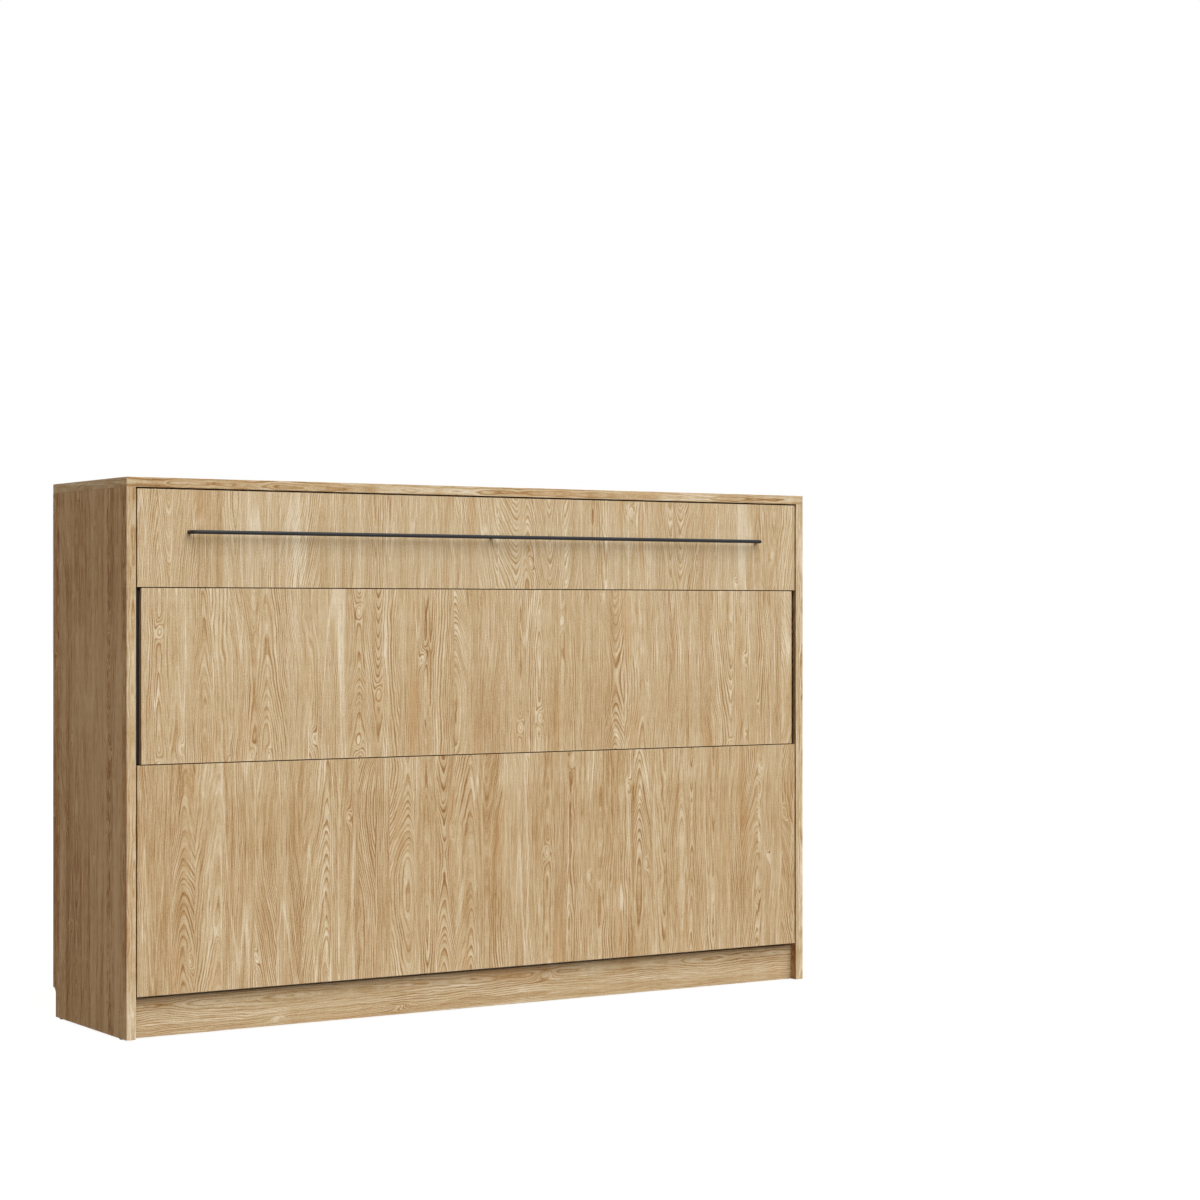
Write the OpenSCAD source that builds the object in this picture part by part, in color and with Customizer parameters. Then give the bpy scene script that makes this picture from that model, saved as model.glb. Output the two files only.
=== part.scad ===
// Horizontal wall bed for one mattress, shown closed.
// X runs along the cabinet, the front faces -Y and Z is up.
// The origin is the middle of the footprint, on the floor.

/* [Mattress] */
// Length of the mattress, along the cabinet
mattress_l = 2000; // [1900:10:2100]
// Width of the mattress, upright while the bed is closed
mattress_w = 1200; // [1180:10:1400]
// Thickness of the mattress, with its crown
mattress_t = 180; // [120:5:200]
// Height of the crown on the sleeping face
mattress_crown = 8; // [4:1:12]
// Radius of the mattress's corners
mattress_corner_r = 60; // [40:1:90]
// How far the long and short sides are drawn in at their middle
mattress_draw = 4; // [1:0.5:6]
// Gap between the mattress and the bed frame at each end
mattress_gap = 2; // [1:0.5:10]

/* [Cabinet] */
// Thickness of the side and top boards
board_t = 25; // [18:1:30]
// Depth of the cabinet without the handle
cabinet_d = 498; // [470:1:600]
// Thickness of the plinths and the rear rails
rail_board_t = 18; // [16:1:22]
// Height of the plinth
plinth_h = 99; // [85:1:110]
// How far the plinth stands behind the cabinet front
plinth_setback = 26; // [15:1:60]
// Room above the plinth for the swinging front
plinth_gap = 8; // [8:1:20]
// Height of the rear rails
rear_rail_h = 100; // [80:1:130]
// Height of the lower edge of the middle rear rail
rear_rail_mid_z = 700; // [500:5:900]
// How far the rear plinth reaches above the lower edge of the front panels
rear_plinth_lap = 8; // [0:1:40]
// Depth of the skirting notch
notch_d = 19; // [10:1:30]
// Height of the skirting notch
notch_h = 77; // [40:1:80]
// Radius in the notch's inner corner
notch_r = 16; // [5:1:18]
// Diameter of the glides
glide_dia = 14; // [12:1:22]
// Height of the glides
glide_h = 5; // [3:1:10]
// Distance of the front glides from the front edge
glide_front = 58; // [30:1:120]
// Distance of the rear glides from the rear edge
glide_rear = 35; // [30:1:120]

/* [Wall fixing] */
// Radius of the wall screw holes
wall_hole_r = 4; // [2.5:0.5:6]
// Spacing of the wall screw holes
wall_hole_pitch = 600; // [400:10:640]

/* [Front] */
// Thickness of the front panels
panel_t = 18; // [16:1:22]
// How far the panels stand behind the cabinet front
panel_recess = 1; // [0:0.5:4]
// Gap around the front
front_gap = 4; // [3:0.5:6]
// Gap between two panels
seam_gap = 2.5; // [2:0.5:4]
// Height of the bottom panel
bottom_panel_h = 582.5; // [575:0.5:590]
// Height of the middle panel
middle_panel_h = 445.5; // [440:0.5:460]
// Width of the slot at each end of the middle panel
slot_w = 15; // [14.5:0.5:17]
// How far the panels reach below the bed frame
panel_foot = 3; // [0:1:8]
// How far the panels reach above the bed frame
panel_head = 18; // [10:1:30]

/* [Handle] */
// Length of the handle over its ends
handle_l = 1790; // [1200:5:1850]
// Diameter of the handle's bar
handle_dia = 10; // [6:0.5:12]
// How far the handle stands out from the panel
handle_out = 34; // [28:1:45]
// Radius of the handle's bends, at the middle of the bar
handle_bend_r = 10; // [8:1:14]
// Distance of the handle below the top edge of the front
handle_drop = 108; // [80:1:150]
// Radius of the handle's screws
handle_screw_r = 2; // [1.5:0.5:2.5]

/* [Bed frame] */
// Thickness of the side rails
side_rail_t = 4; // [3:0.5:5]
// Depth of the side rails
side_rail_d = 79.5; // [70:0.5:90]
// Width of the side rails' ledge
ledge_w = 20; // [12:1:25]
// Distance from the mattress's edge to the frame's edge
frame_rim = 30; // [28:1:40]
// Depth of the cross rails
cross_rail_d = 40; // [36:1:44]
// Wall of the cross rails
cross_rail_wall = 2; // [1.5:0.5:3]
// Height of the cross rails at the frame's two edges
edge_rail_h = 30; // [26:1:30]
// Height of the cross rail at the pivot
pivot_rail_h = 40; // [30:1:60]
// Height of the cross rails behind the seams
seam_rail_h = 50; // [44:1:60]
// Width of a slat
slat_w = 53; // [45:1:60]
// Thickness of a slat
slat_t = 8; // [6:1:10]
// Distance between the middles of two slats
slat_pitch = 98; // [75:1:112]
// Wall of a slat's end cap beside the slat
cap_wall = 3.5; // [2:0.5:4]
// Floor of a slat's end cap
cap_floor = 3; // [3:0.5:5]
// Roof of a slat's end cap
cap_roof = 2; // [1.5:0.5:3]
// Width of the mattress straps
strap_w = 32; // [20:1:34]
// Thickness of the mattress straps
strap_t = 1.6; // [1:0.1:2.5]

/* [Pivot] */
// Height of the bed's pivot above the floor
pivot_z = 405; // [398:1:410]
// Distance of the pivot behind the face of the front
pivot_setback = 60; // [58:1:64]
// Space between the bed frame and the cabinet side
side_space = 29; // [28.5:0.5:40]
// Radius of the pivot pin
pivot_pin_r = 8; // [6:0.5:9]
// Thickness of the steel plates on the cabinet sides
plate_t = 5; // [3:0.5:6]
// Radius of the countersunk screws' shanks
screw_r = 2.5; // [2:0.5:3]

/* [Leg] */
// Thickness of the leg's arms
arm_t = 12; // [8:0.5:12]
// Depth of the leg's arms
arm_d = 50; // [44:1:54]
// How far the arms stand behind the face of the front
arm_setback = 13; // [10:1:16]
// Gap between an arm and the cabinet side
arm_side_gap = 1.5; // [1:0.5:2]
// Gap between the foot and the lower end of its slot
foot_gap = 1; // [1:0.5:3]
// Thickness of the rubber feet
foot_t = 5; // [3:0.5:8]
// Gap between an arm and the upper end of its slot
arm_top_gap = 3.5; // [3:0.5:6]
// Diameter of the tube between the arms
torsion_dia = 16; // [14:1:17]
// Wall of the tube between the arms
torsion_wall = 2; // [1.5:0.5:3]

/* [Links and struts] */
// Offset of the links behind the line between the pivots
link_back = 20; // [19:0.5:23]
// Offset of the links above the pivots
link_up = 35; // [33:1:38]
// Width of the links
link_w = 16; // [12:1:16]
// Thickness of the links
link_t = 6; // [4:0.5:6]
// Radius of the link and strut pins
pin_r = 5; // [4:0.5:5]
// Distance of both strut pins from the bed's pivot
strut_pivot_r = 255; // [245:1:262]
// Angle between the two strut pins, seen from the pivot
strut_spread = 165; // [160:1:168]
// Angle of the lower strut pin, forward of straight down
strut_lean = 6; // [4:0.5:6.5]
// Diameter of the gas strut's cylinder
strut_dia = 20; // [16:1:22]
// Diameter of the gas strut's rod
strut_rod_dia = 8; // [6:1:10]
// Length of the gas strut's rod
strut_rod_l = 270; // [260:1:280]
// Free length between the cylinder and the lower eye, bed open
strut_nose = 26; // [20:1:40]

/* [Hidden] */
$fn = 48;

// Colours
oak = [0.80, 0.69, 0.54];
black_steel = [0.12, 0.12, 0.13];
zinc = [0.72, 0.73, 0.74];
black_plastic = [0.08, 0.08, 0.09];
beech = [0.86, 0.74, 0.55];
ticking = [0.93, 0.92, 0.89];
webbing = [0.20, 0.21, 0.23];
bronze = [0.72, 0.55, 0.30];

// Clearances
fit = 0.05;
loose_fit = 0.3;
seat_gap = 0.3;
pocket_gap = 0.1;
eps = 0.01;
// How far a cutting solid runs past the face that it opens
cut = 1;

// Widths, counted from the middle plane
half_mattress = mattress_l / 2;
rail_in = half_mattress + mattress_gap;
rail_out = rail_in + side_rail_t;
side_in = rail_out + side_space;
side_out = side_in + board_t;
wide_panel_x = side_in - front_gap;
middle_panel_x = side_in - slot_w;

// Depths
handle_proud = handle_out - panel_recess;
y_rear = (cabinet_d + handle_proud) / 2;
y_front = y_rear - cabinet_d;
y_face = y_front + panel_recess;
y_frame = y_face + panel_t;
y_rail_rear = y_frame + cross_rail_d;
y_slat = y_rail_rear + cap_floor;
y_cap_top = y_slat + slat_t + cap_roof;
y_mattress = y_cap_top + seat_gap;
y_side_rail_rear = y_frame + side_rail_d;

// Heights
z_plinth_top = glide_h + plinth_h;
z_front = z_plinth_top + plinth_gap;
z_frame = z_front + panel_foot;
z_frame_top = z_frame + mattress_w + 2 * frame_rim;
z_front_top = z_frame_top + panel_head;
z_board = z_front_top + front_gap;
z_top = z_board + board_t;
z_middle = z_front + bottom_panel_h + seam_gap;
z_middle_top = z_middle + middle_panel_h;
z_upper = z_middle_top + seam_gap;
z_seam_low = z_middle - seam_gap / 2;
z_seam_high = z_middle_top + seam_gap / 2;
z_mattress = z_frame + frame_rim;
z_handle = z_front_top - handle_drop;

// Pivot, leg and link points as [y, z]
pivot = [y_face + pivot_setback, pivot_z];
leg_y = y_face + arm_setback + arm_d / 2;
leg_l = pivot_z + leg_y - pivot.x;
z_foot = z_middle + foot_gap;
leg_pivot = [leg_y, z_foot + leg_l];
link_offset = [link_back, link_up];
link_low = pivot + link_offset;
link_high = leg_pivot + link_offset;

// Strut points: both pins lie at the same distance from the pivot, so the strut turns half as far as the bed
strut_low_a = -90 - strut_lean;
strut_high_a = strut_low_a + strut_spread;
strut_low = pivot + strut_pivot_r * [cos(strut_low_a), sin(strut_low_a)];
strut_high = pivot + strut_pivot_r * [cos(strut_high_a), sin(strut_high_a)];
strut_closed_l = 2 * strut_pivot_r * sin(strut_spread / 2);
strut_open_l = 2 * strut_pivot_r * sin((strut_spread - 90) / 2);
strut_dir = strut_low - strut_high;
strut_a = atan2(strut_dir.y, strut_dir.x);

// Layers in the space beside the bed frame
bush_flange_t = 2;
bush_wall = 3;
bush_flange_r = 14;
leg_bush_r = torsion_dia / 2 + bush_wall;
pivot_bush_r = pivot_pin_r + bush_wall;
shoulder_r = 11;
x_bush = rail_out + bush_flange_t;
link_space = 5;
x_link = rail_out + link_space;
x_arm_out = side_in - arm_side_gap;
x_arm = x_arm_out - arm_t;
x_plate = side_in - plate_t;
strut_space = 12.5;
x_strut = rail_out + strut_space;
eye_t = 10;
eye_r = 9;
clip_t = 1.5;
clip_r = 8;

// Screws
screw_head_r = 2 * screw_r;
screw_l = 18;
panel_screw_r = 2.5;
panel_screw_head_r = 4.5;
panel_screw_head_t = 2.2;
panel_screw_bite = 12;
handle_screw_head_r = 4.5;
handle_screw_head_t = 2.5;
handle_screw_bite = 10;
hex_r = 2;
hex_depth = 1.2;
seam_screw = 13;
screw_step = 3 * slat_pitch;
screw_side_n = floor((rail_in - ledge_w - panel_screw_head_r) / screw_step);
screw_cols = [for (k = [-screw_side_n:screw_side_n]) k * screw_step];
screw_rows = [
  z_frame + edge_rail_h / 2, pivot_z,
  z_seam_low - seam_screw, z_seam_low + seam_screw,
  z_seam_high - seam_screw, z_seam_high + seam_screw,
  z_frame_top - edge_rail_h / 2
];
rail_rows = [
  [z_frame + edge_rail_h / 2, edge_rail_h], [pivot_z, pivot_rail_h],
  [z_seam_low, seam_rail_h], [z_seam_high, seam_rail_h],
  [z_frame_top - edge_rail_h / 2, edge_rail_h]
];
// As many slats as fit between the side rails' ledges, half of them on each side of the middle
slat_side_n = floor((rail_in - ledge_w - slat_w / 2 - cap_wall) / slat_pitch + 0.5);
slat_cols = [for (k = [-slat_side_n:slat_side_n - 1]) (k + 0.5) * slat_pitch];

// Cam locks
cam_r = 7.5;
cam_t = 12.5;
cam_edge = 34;
cam_slot_l = 9;
cam_slot_w = 1.6;
cam_slot_d = 2;
cam_row_in = 60;
cam_rows = [y_front + cam_row_in, (y_front + y_rear) / 2, y_rear - cam_row_in];

// Steel plates on the cabinet sides
plate_low = 28;
plate_high = 80;
plate_back = 60;
plate_corner_r = 10;
anchor_w = 60;
anchor_h = 90;
anchor_rise = 12;

// Stops
stop_w = 40;
stop_h = 44;
stop_t = 3;
stop_drop = 70;
stop_screw_in = 12;
stop_end_in = 1;
bumper_r = 6;
bumper_t = 6;
bumper_over = 1;

// Straps
strap_x = 5 * slat_pitch;
buckle_w = 46;
buckle_h = 60;
buckle_t = 9;
buckle_bar = 8;

// Places the children, drawn for the right side, on side s: 1 is right, -1 is left
module on_side(s) {
  if (s > 0) children();
  else mirror([1, 0, 0]) children();
}

// Extrudes an outline given in Y and Z along X
module along_x(x0, x1) {
  translate([x0, 0, 0])
    rotate([90, 0, 90])
      linear_extrude(x1 - x0)
        children();
}

// Round bar along X, centred on the point p = [y, z]
module bar_x(x0, x1, p, r) {
  translate([x0, p.x, p.y])
    rotate([0, 90, 0])
      cylinder(h = x1 - x0, r = r);
}

// Round bar along Y at x and z
module bar_y(x, z, y0, y1, r) {
  translate([x, y0, z])
    rotate([-90, 0, 0])
      cylinder(h = y1 - y0, r = r);
}

// Box between two corners
module box(lo, hi) {
  translate(lo) cube(hi - lo);
}

// Rectangle from lo to hi with round corners
module round_rect(lo, hi, r) {
  translate(lo + [r, 0]) square([hi.x - lo.x - 2 * r, hi.y - lo.y]);
  translate(lo + [0, r]) square([hi.x - lo.x, hi.y - lo.y - 2 * r]);
  for (x = [lo.x + r, hi.x - r], y = [lo.y + r, hi.y - r])
    translate([x, y]) circle(r);
}

// Countersunk screw with its head flush at the plate's face, driven along +X at p = [y, z]
module sunk_screw(p, play = 0) {
  translate([x_plate - play, p.x, p.y])
    rotate([0, 90, 0]) {
      cylinder(h = screw_head_r - screw_r, r1 = screw_head_r + play, r2 = screw_r + play);
      cylinder(h = screw_l + 2 * play, r = screw_r + play);
    }
}

// Places of the screws in one pivot plate, one strut anchor and one stop bracket
pivot_plate_lo = pivot - [plate_low, plate_low];
pivot_plate_hi = pivot + [plate_back, plate_high];
plate_screw_in = 10;
pivot_plate_screws = [
  [pivot_plate_hi.x - plate_screw_in, pivot_plate_lo.y + plate_screw_in],
  [pivot_plate_hi.x - plate_screw_in, (pivot_plate_lo.y + pivot_plate_hi.y) / 2],
  [pivot_plate_hi.x - plate_screw_in, pivot_plate_hi.y - plate_screw_in],
  [pivot_plate_lo.x + plate_screw_in, pivot_plate_hi.y - plate_screw_in]
];
anchor_lo = strut_high - [anchor_w / 2, anchor_h / 2 - anchor_rise];
anchor_hi = anchor_lo + [anchor_w, anchor_h];
anchor_screws = [
  [anchor_lo.x + plate_screw_in, anchor_hi.y - plate_screw_in],
  [anchor_hi.x - plate_screw_in, anchor_hi.y - plate_screw_in],
  [anchor_hi.x - plate_screw_in, anchor_lo.y + plate_screw_in],
  [anchor_lo.x + plate_screw_in, anchor_lo.y + plate_screw_in]
];
all_plate_screws = concat(pivot_plate_screws, anchor_screws);

// Cabinet

module side_outline() {
  difference() {
    translate([y_front, glide_h]) square([cabinet_d, z_board - glide_h]);
    translate([y_rear - notch_d, glide_h - cut]) square([notch_d + cut, notch_h + cut - notch_r]);
    translate([y_rear - notch_d + notch_r, glide_h - cut]) square([notch_d, notch_h + cut]);
    translate([y_rear - notch_d + notch_r, glide_h + notch_h - notch_r]) circle(notch_r);
  }
}

module side_board(s) {
  color(oak) on_side(s) difference() {
    along_x(side_in, side_out) side_outline();
    for (y = cam_rows)
      bar_x(side_in - cut, side_in + cam_t + fit, [y, z_board - cam_edge], cam_r + fit);
    for (p = all_plate_screws) sunk_screw(p, fit);
    for (z = stop_screw_rows) stop_screw(z, fit);
  }
}

module side_left() side_board(-1);

module side_right() side_board(1);

module top_board() {
  color(oak) box([-side_out, y_front, z_board], [side_out, y_rear, z_top]);
}

y_plinth = y_front + plinth_setback;
plinth_cam_z = glide_h + plinth_h / 2;

module plinth() {
  color(oak) difference() {
    box([-side_in, y_plinth, glide_h], [side_in, y_plinth + rail_board_t, z_plinth_top]);
    for (s = [-1, 1])
      bar_y(s * (side_in - cam_edge), plinth_cam_z,
        y_plinth + rail_board_t - cam_t - fit, y_plinth + rail_board_t + cut, cam_r + fit);
  }
}

y_rear_rail = y_rear - rail_board_t;
y_rear_plinth = y_rear_rail - notch_d;
rear_plinth_h = z_front + rear_plinth_lap - glide_h;
wall_hole_cols = [for (k = [-1.5:1.5]) k * wall_hole_pitch];

// Board between the sides with its front face at y and its lower edge at z, held by a cam lock at each end
module rear_board(y, z, h) {
  difference() {
    box([-side_in, y, z], [side_in, y + rail_board_t, z + h]);
    for (s = [-1, 1])
      bar_y(s * (side_in - cam_edge), z + h / 2, y - cut, y + cam_t + fit, cam_r + fit);
  }
}

// Rear rail with its wall screw holes
module rear_rail(z) {
  color(oak) difference() {
    rear_board(y_rear_rail, z, rear_rail_h);
    for (x = wall_hole_cols)
      bar_y(x, z + rear_rail_h / 2, y_rear_rail - cut, y_rear + cut, wall_hole_r);
  }
}

module rear_rail_upper() rear_rail(z_board - rear_rail_h);

module rear_rail_middle() rear_rail(rear_rail_mid_z);

module rear_plinth() {
  color(oak) rear_board(y_rear_plinth, glide_h, rear_plinth_h);
}

module glides() {
  glide_chamfer = 1;
  color(black_plastic)
    for (s = [-1, 1], y = [y_front + glide_front, y_rear - glide_rear])
      translate([s * (side_in + board_t / 2), y, 0]) {
        cylinder(h = glide_chamfer, r1 = glide_dia / 2 - glide_chamfer, r2 = glide_dia / 2);
        translate([0, 0, glide_chamfer]) cylinder(h = glide_h - glide_chamfer, r = glide_dia / 2);
      }
}

// Cam lock with its face at z = 0, sunk towards -z
module cam_lock() {
  difference() {
    translate([0, 0, -cam_t]) cylinder(h = cam_t, r = cam_r);
    for (a = [0, 90])
      rotate([0, 0, a])
        translate([-cam_slot_l / 2, -cam_slot_w / 2, -cam_slot_d])
          cube([cam_slot_l, cam_slot_w, cam_slot_d + cut]);
  }
}

module cam_locks() {
  color(zinc) for (s = [-1, 1]) {
    for (y = cam_rows)
      on_side(s) translate([side_in, y, z_board - cam_edge]) rotate([0, -90, 0]) cam_lock();
    translate([s * (side_in - cam_edge), y_plinth + rail_board_t, plinth_cam_z])
      rotate([-90, 0, 0]) cam_lock();
    for (z = [z_board - rear_rail_h, rear_rail_mid_z])
      translate([s * (side_in - cam_edge), y_rear_rail, z + rear_rail_h / 2])
        rotate([90, 0, 0]) cam_lock();
    translate([s * (side_in - cam_edge), y_rear_plinth, glide_h + rear_plinth_h / 2])
      rotate([90, 0, 0]) cam_lock();
  }
}

// Pin that carries the lower end of a link or the upper end of a strut, from the plate to its end clip
module plate_pin(p, x_eye, eye_w) {
  bar_x(x_eye - clip_t - seat_gap, x_plate, p, pin_r);
  bar_x(x_eye - clip_t - seat_gap, x_eye - seat_gap, p, clip_r);
  bar_x(x_eye + eye_w + seat_gap, x_plate, p, clip_r);
}

module pivot_plate(s) {
  color(black_steel) on_side(s) {
    difference() {
      along_x(x_plate, side_in) round_rect(pivot_plate_lo, pivot_plate_hi, plate_corner_r);
      bar_x(x_plate - cut, side_in + cut, pivot, pivot_pin_r + fit);
      for (p = pivot_plate_screws) sunk_screw(p, fit);
    }
    plate_pin(link_low, x_link, link_t);
  }
}

module pivot_plate_left() pivot_plate(-1);

module pivot_plate_right() pivot_plate(1);

module pivot_pin(s) {
  color(zinc) on_side(s) {
    bar_x(rail_in + seat_gap, side_in, pivot, pivot_pin_r);
    bar_x(x_bush + seat_gap, x_plate, pivot, shoulder_r);
  }
}

module pivot_pin_left() pivot_pin(-1);

module pivot_pin_right() pivot_pin(1);

module strut_anchor(s) {
  color(black_steel) on_side(s) {
    difference() {
      along_x(x_plate, side_in) round_rect(anchor_lo, anchor_hi, plate_corner_r);
      for (p = anchor_screws) sunk_screw(p, fit);
    }
    plate_pin(strut_high, x_strut - eye_t / 2, eye_t);
  }
}

module strut_anchor_left() strut_anchor(-1);

module strut_anchor_right() strut_anchor(1);

// Stop brackets: angles that hold the rubber bumpers behind the side rails
y_stop = y_side_rail_rear + seat_gap + bumper_t;
z_stop = z_frame_top - stop_drop;
x_stop = rail_in + stop_end_in;
x_bumper = x_stop + bumper_r - bumper_over;
stop_screw_rows = [z_stop - stop_h / 4, z_stop + stop_h / 4];
stop_screw_y = y_stop + stop_w - stop_screw_in;

// Screw that holds a stop bracket, with its head flush in the angle
module stop_screw(z, play = 0) {
  translate([plate_t - stop_t, 0, 0]) sunk_screw([stop_screw_y, z], play);
}

module stop_brackets() {
  color(black_steel) for (s = [-1, 1]) on_side(s) difference() {
    union() {
      box([side_in - stop_t, y_stop, z_stop - stop_h / 2],
        [side_in, y_stop + stop_w, z_stop + stop_h / 2]);
      box([x_stop, y_stop, z_stop - stop_h / 2],
        [side_in - stop_t + eps, y_stop + stop_t, z_stop + stop_h / 2]);
    }
    for (z = stop_screw_rows) stop_screw(z, fit);
  }
}

module bumpers() {
  bumper_tip = 1;
  color(black_plastic) for (s = [-1, 1]) on_side(s) {
    bar_y(x_bumper, z_stop, y_stop - bumper_t + bumper_tip, y_stop, bumper_r);
    translate([x_bumper, y_stop - bumper_t, z_stop])
      rotate([-90, 0, 0])
        cylinder(h = bumper_tip, r1 = bumper_r - bumper_tip, r2 = bumper_r);
  }
}

module plate_screws() {
  color(zinc) for (s = [-1, 1]) on_side(s) {
    for (p = all_plate_screws) sunk_screw(p);
    for (z = stop_screw_rows) stop_screw(z);
  }
}

// Front

// Front panel from z0 to z1, reaching x to each side, with the bores of the screws that fall on it
module front_panel(x, z0, z1) {
  difference() {
    box([-x, y_face, z0], [x, y_frame, z1]);
    for (c = screw_cols, r = screw_rows)
      if (r > z0 && r < z1)
        bar_y(c, r, y_frame - panel_screw_bite - fit, y_frame + cut, panel_screw_r + fit);
  }
}

handle_end_x = handle_l / 2 - handle_dia / 2;
bar_end_x = handle_end_x - handle_bend_r;
handle_cols = [-handle_end_x, 0, handle_end_x];
y_handle = y_face - handle_out + handle_dia / 2;
mid_post_step = 0.5;
mid_post_r = handle_dia / 2 - mid_post_step;

module front_panel_top() {
  color(oak) difference() {
    front_panel(wide_panel_x, z_upper, z_front_top);
    for (x = handle_cols)
      bar_y(x, z_handle, y_face - cut, y_frame + cut, handle_screw_r + fit);
  }
}

module front_panel_middle() {
  color(oak) front_panel(middle_panel_x, z_middle, z_middle_top);
}

module front_panel_bottom() {
  color(oak) front_panel(wide_panel_x, z_front, z_front + bottom_panel_h);
}

// Bent end of the handle on side s: a quarter turn from the bar to its post
module handle_end(s) {
  on_side(s) {
    translate([bar_end_x, y_handle + handle_bend_r, z_handle])
      rotate([0, 0, -90])
        rotate_extrude(angle = 90)
          translate([handle_bend_r, 0]) circle(handle_dia / 2);
    bar_y(handle_end_x, z_handle, y_handle + handle_bend_r, y_face, handle_dia / 2);
  }
}

module handle() {
  color(black_steel) difference() {
    union() {
      bar_x(-bar_end_x, bar_end_x, [y_handle, z_handle], handle_dia / 2);
      handle_end(-1);
      handle_end(1);
      bar_y(0, z_handle, y_handle, y_face, mid_post_r);
    }
    for (x = handle_cols)
      bar_y(x, z_handle, y_face - handle_screw_bite - fit, y_face + cut, handle_screw_r + fit);
  }
}

// Pan-head screw with a hexagon recess, driven along -Y with the underside of its head at y0
module pan_screw(x, z, y0, l, r, head_r, head_t) {
  difference() {
    union() {
      bar_y(x, z, y0 - l, y0, r);
      bar_y(x, z, y0, y0 + head_t, head_r);
    }
    translate([x, y0 + head_t + cut, z])
      rotate([90, 0, 0])
        cylinder(h = hex_depth + cut, r = hex_r, $fn = 6);
  }
}

module handle_screws() {
  color(zinc) for (x = handle_cols)
    pan_screw(x, z_handle, y_frame, panel_t + handle_screw_bite,
      handle_screw_r, handle_screw_head_r, handle_screw_head_t);
}

module panel_screws() {
  color(zinc) for (x = screw_cols, z = screw_rows)
    pan_screw(x, z, y_rail_rear, cross_rail_d + panel_screw_bite,
      panel_screw_r, panel_screw_head_r, panel_screw_head_t);
}

// Bed frame

module side_rail(s) {
  color(black_steel) on_side(s) difference() {
    union() {
      box([rail_in, y_frame, z_frame], [rail_out, y_side_rail_rear, z_frame_top]);
      difference() {
        box([rail_in - ledge_w, y_rail_rear - side_rail_t, z_frame],
          [rail_in + eps, y_rail_rear, z_frame_top]);
        for (r = rail_rows)
          box([rail_in - ledge_w - cut, y_frame, r[0] - r[1] / 2],
            [rail_in, y_rail_rear + cut, r[0] + r[1] / 2]);
      }
    }
    bar_x(rail_in - cut, rail_out + cut, pivot, pivot_bush_r + fit);
    bar_x(rail_in - cut, rail_out + cut, leg_pivot, leg_bush_r + fit);
  }
}

module side_rail_left() side_rail(-1);

module side_rail_right() side_rail(1);

// Square tube along X, number k of the rail rows, with the bores of its screws
module cross_rail(k) {
  z = rail_rows[k][0];
  h = rail_rows[k][1];
  w = cross_rail_wall;
  color(black_steel) difference() {
    box([-rail_in, y_frame, z - h / 2], [rail_in, y_rail_rear, z + h / 2]);
    box([-rail_in - cut, y_frame + w, z - h / 2 + w], [rail_in + cut, y_rail_rear - w, z + h / 2 - w]);
    for (x = screw_cols, r = screw_rows)
      if (abs(r - z) < h / 2)
        bar_y(x, r, y_frame - cut, y_rail_rear + cut, panel_screw_r + fit);
  }
}

module cross_rail_bottom() cross_rail(0);

module cross_rail_pivot() cross_rail(1);

module cross_rail_lower() cross_rail(2);

module cross_rail_upper() cross_rail(3);

module cross_rail_top() cross_rail(4);

slat_inset = 3;
cap_l = edge_rail_h;

module slats() {
  color(beech) for (x = slat_cols)
    box([x - slat_w / 2, y_slat, z_frame + slat_inset],
      [x + slat_w / 2, y_slat + slat_t, z_frame_top - slat_inset]);
}

// End cap of a slat, open upwards, with its lower end at z = 0
module slat_cap() {
  difference() {
    box([-slat_w / 2 - cap_wall, y_rail_rear, 0], [slat_w / 2 + cap_wall, y_cap_top, cap_l]);
    box([-slat_w / 2 - pocket_gap, y_slat - pocket_gap, slat_inset - pocket_gap],
      [slat_w / 2 + pocket_gap, y_slat + slat_t + pocket_gap, cap_l + cut]);
  }
}

module slat_caps() {
  color(black_plastic) for (x = slat_cols) {
    translate([x, 0, z_frame]) slat_cap();
    translate([x, 0, z_frame_top]) mirror([0, 0, 1]) slat_cap();
  }
}

// Flanged bush in a side rail at p, with bore radius r
module bush(s, p, r) {
  color(bronze) on_side(s) difference() {
    union() {
      bar_x(rail_in, rail_out, p, r + bush_wall);
      bar_x(rail_out, x_bush, p, bush_flange_r);
    }
    bar_x(rail_in - cut, x_bush + cut, p, r + fit);
  }
}

module pivot_bush_left() bush(-1, pivot, pivot_pin_r);

module pivot_bush_right() bush(1, pivot, pivot_pin_r);

module leg_bush_left() bush(-1, leg_pivot, torsion_dia / 2);

module leg_bush_right() bush(1, leg_pivot, torsion_dia / 2);

module strut_pin(s) {
  x_eye = x_strut - eye_t / 2;
  x_end = x_strut + eye_t / 2 + seat_gap;
  color(zinc) on_side(s) {
    bar_x(rail_out, x_end + clip_t, strut_low, pin_r);
    bar_x(rail_out, x_eye - seat_gap, strut_low, clip_r);
    bar_x(x_end, x_end + clip_t, strut_low, clip_r);
  }
}

module strut_pin_left() strut_pin(-1);

module strut_pin_right() strut_pin(1);

// Mattress

mattress_edge_t = mattress_t - mattress_crown;
half_w = mattress_w / 2;
z_mattress_mid = z_mattress + half_w;
tape = 9;
groove = 2.6;
groove_run = 5;
border_in = 1;
border_mid = 0.6;
border_run = 26;
face_in = 16;
roll_in = 6;
roll_low = 1.6;
roll_out = 1.2;
roll_high = 5;
crown_reach = 300;
crown_power = 2.2;
least_corner_r = 12;
corner_n = 6;
edge_n = 5;

// Height of the crown at a distance in from the border
function crown_at(inset) =
  let (t = min(inset / crown_reach, 1)) mattress_crown * (1 - pow(1 - t, crown_power));

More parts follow.
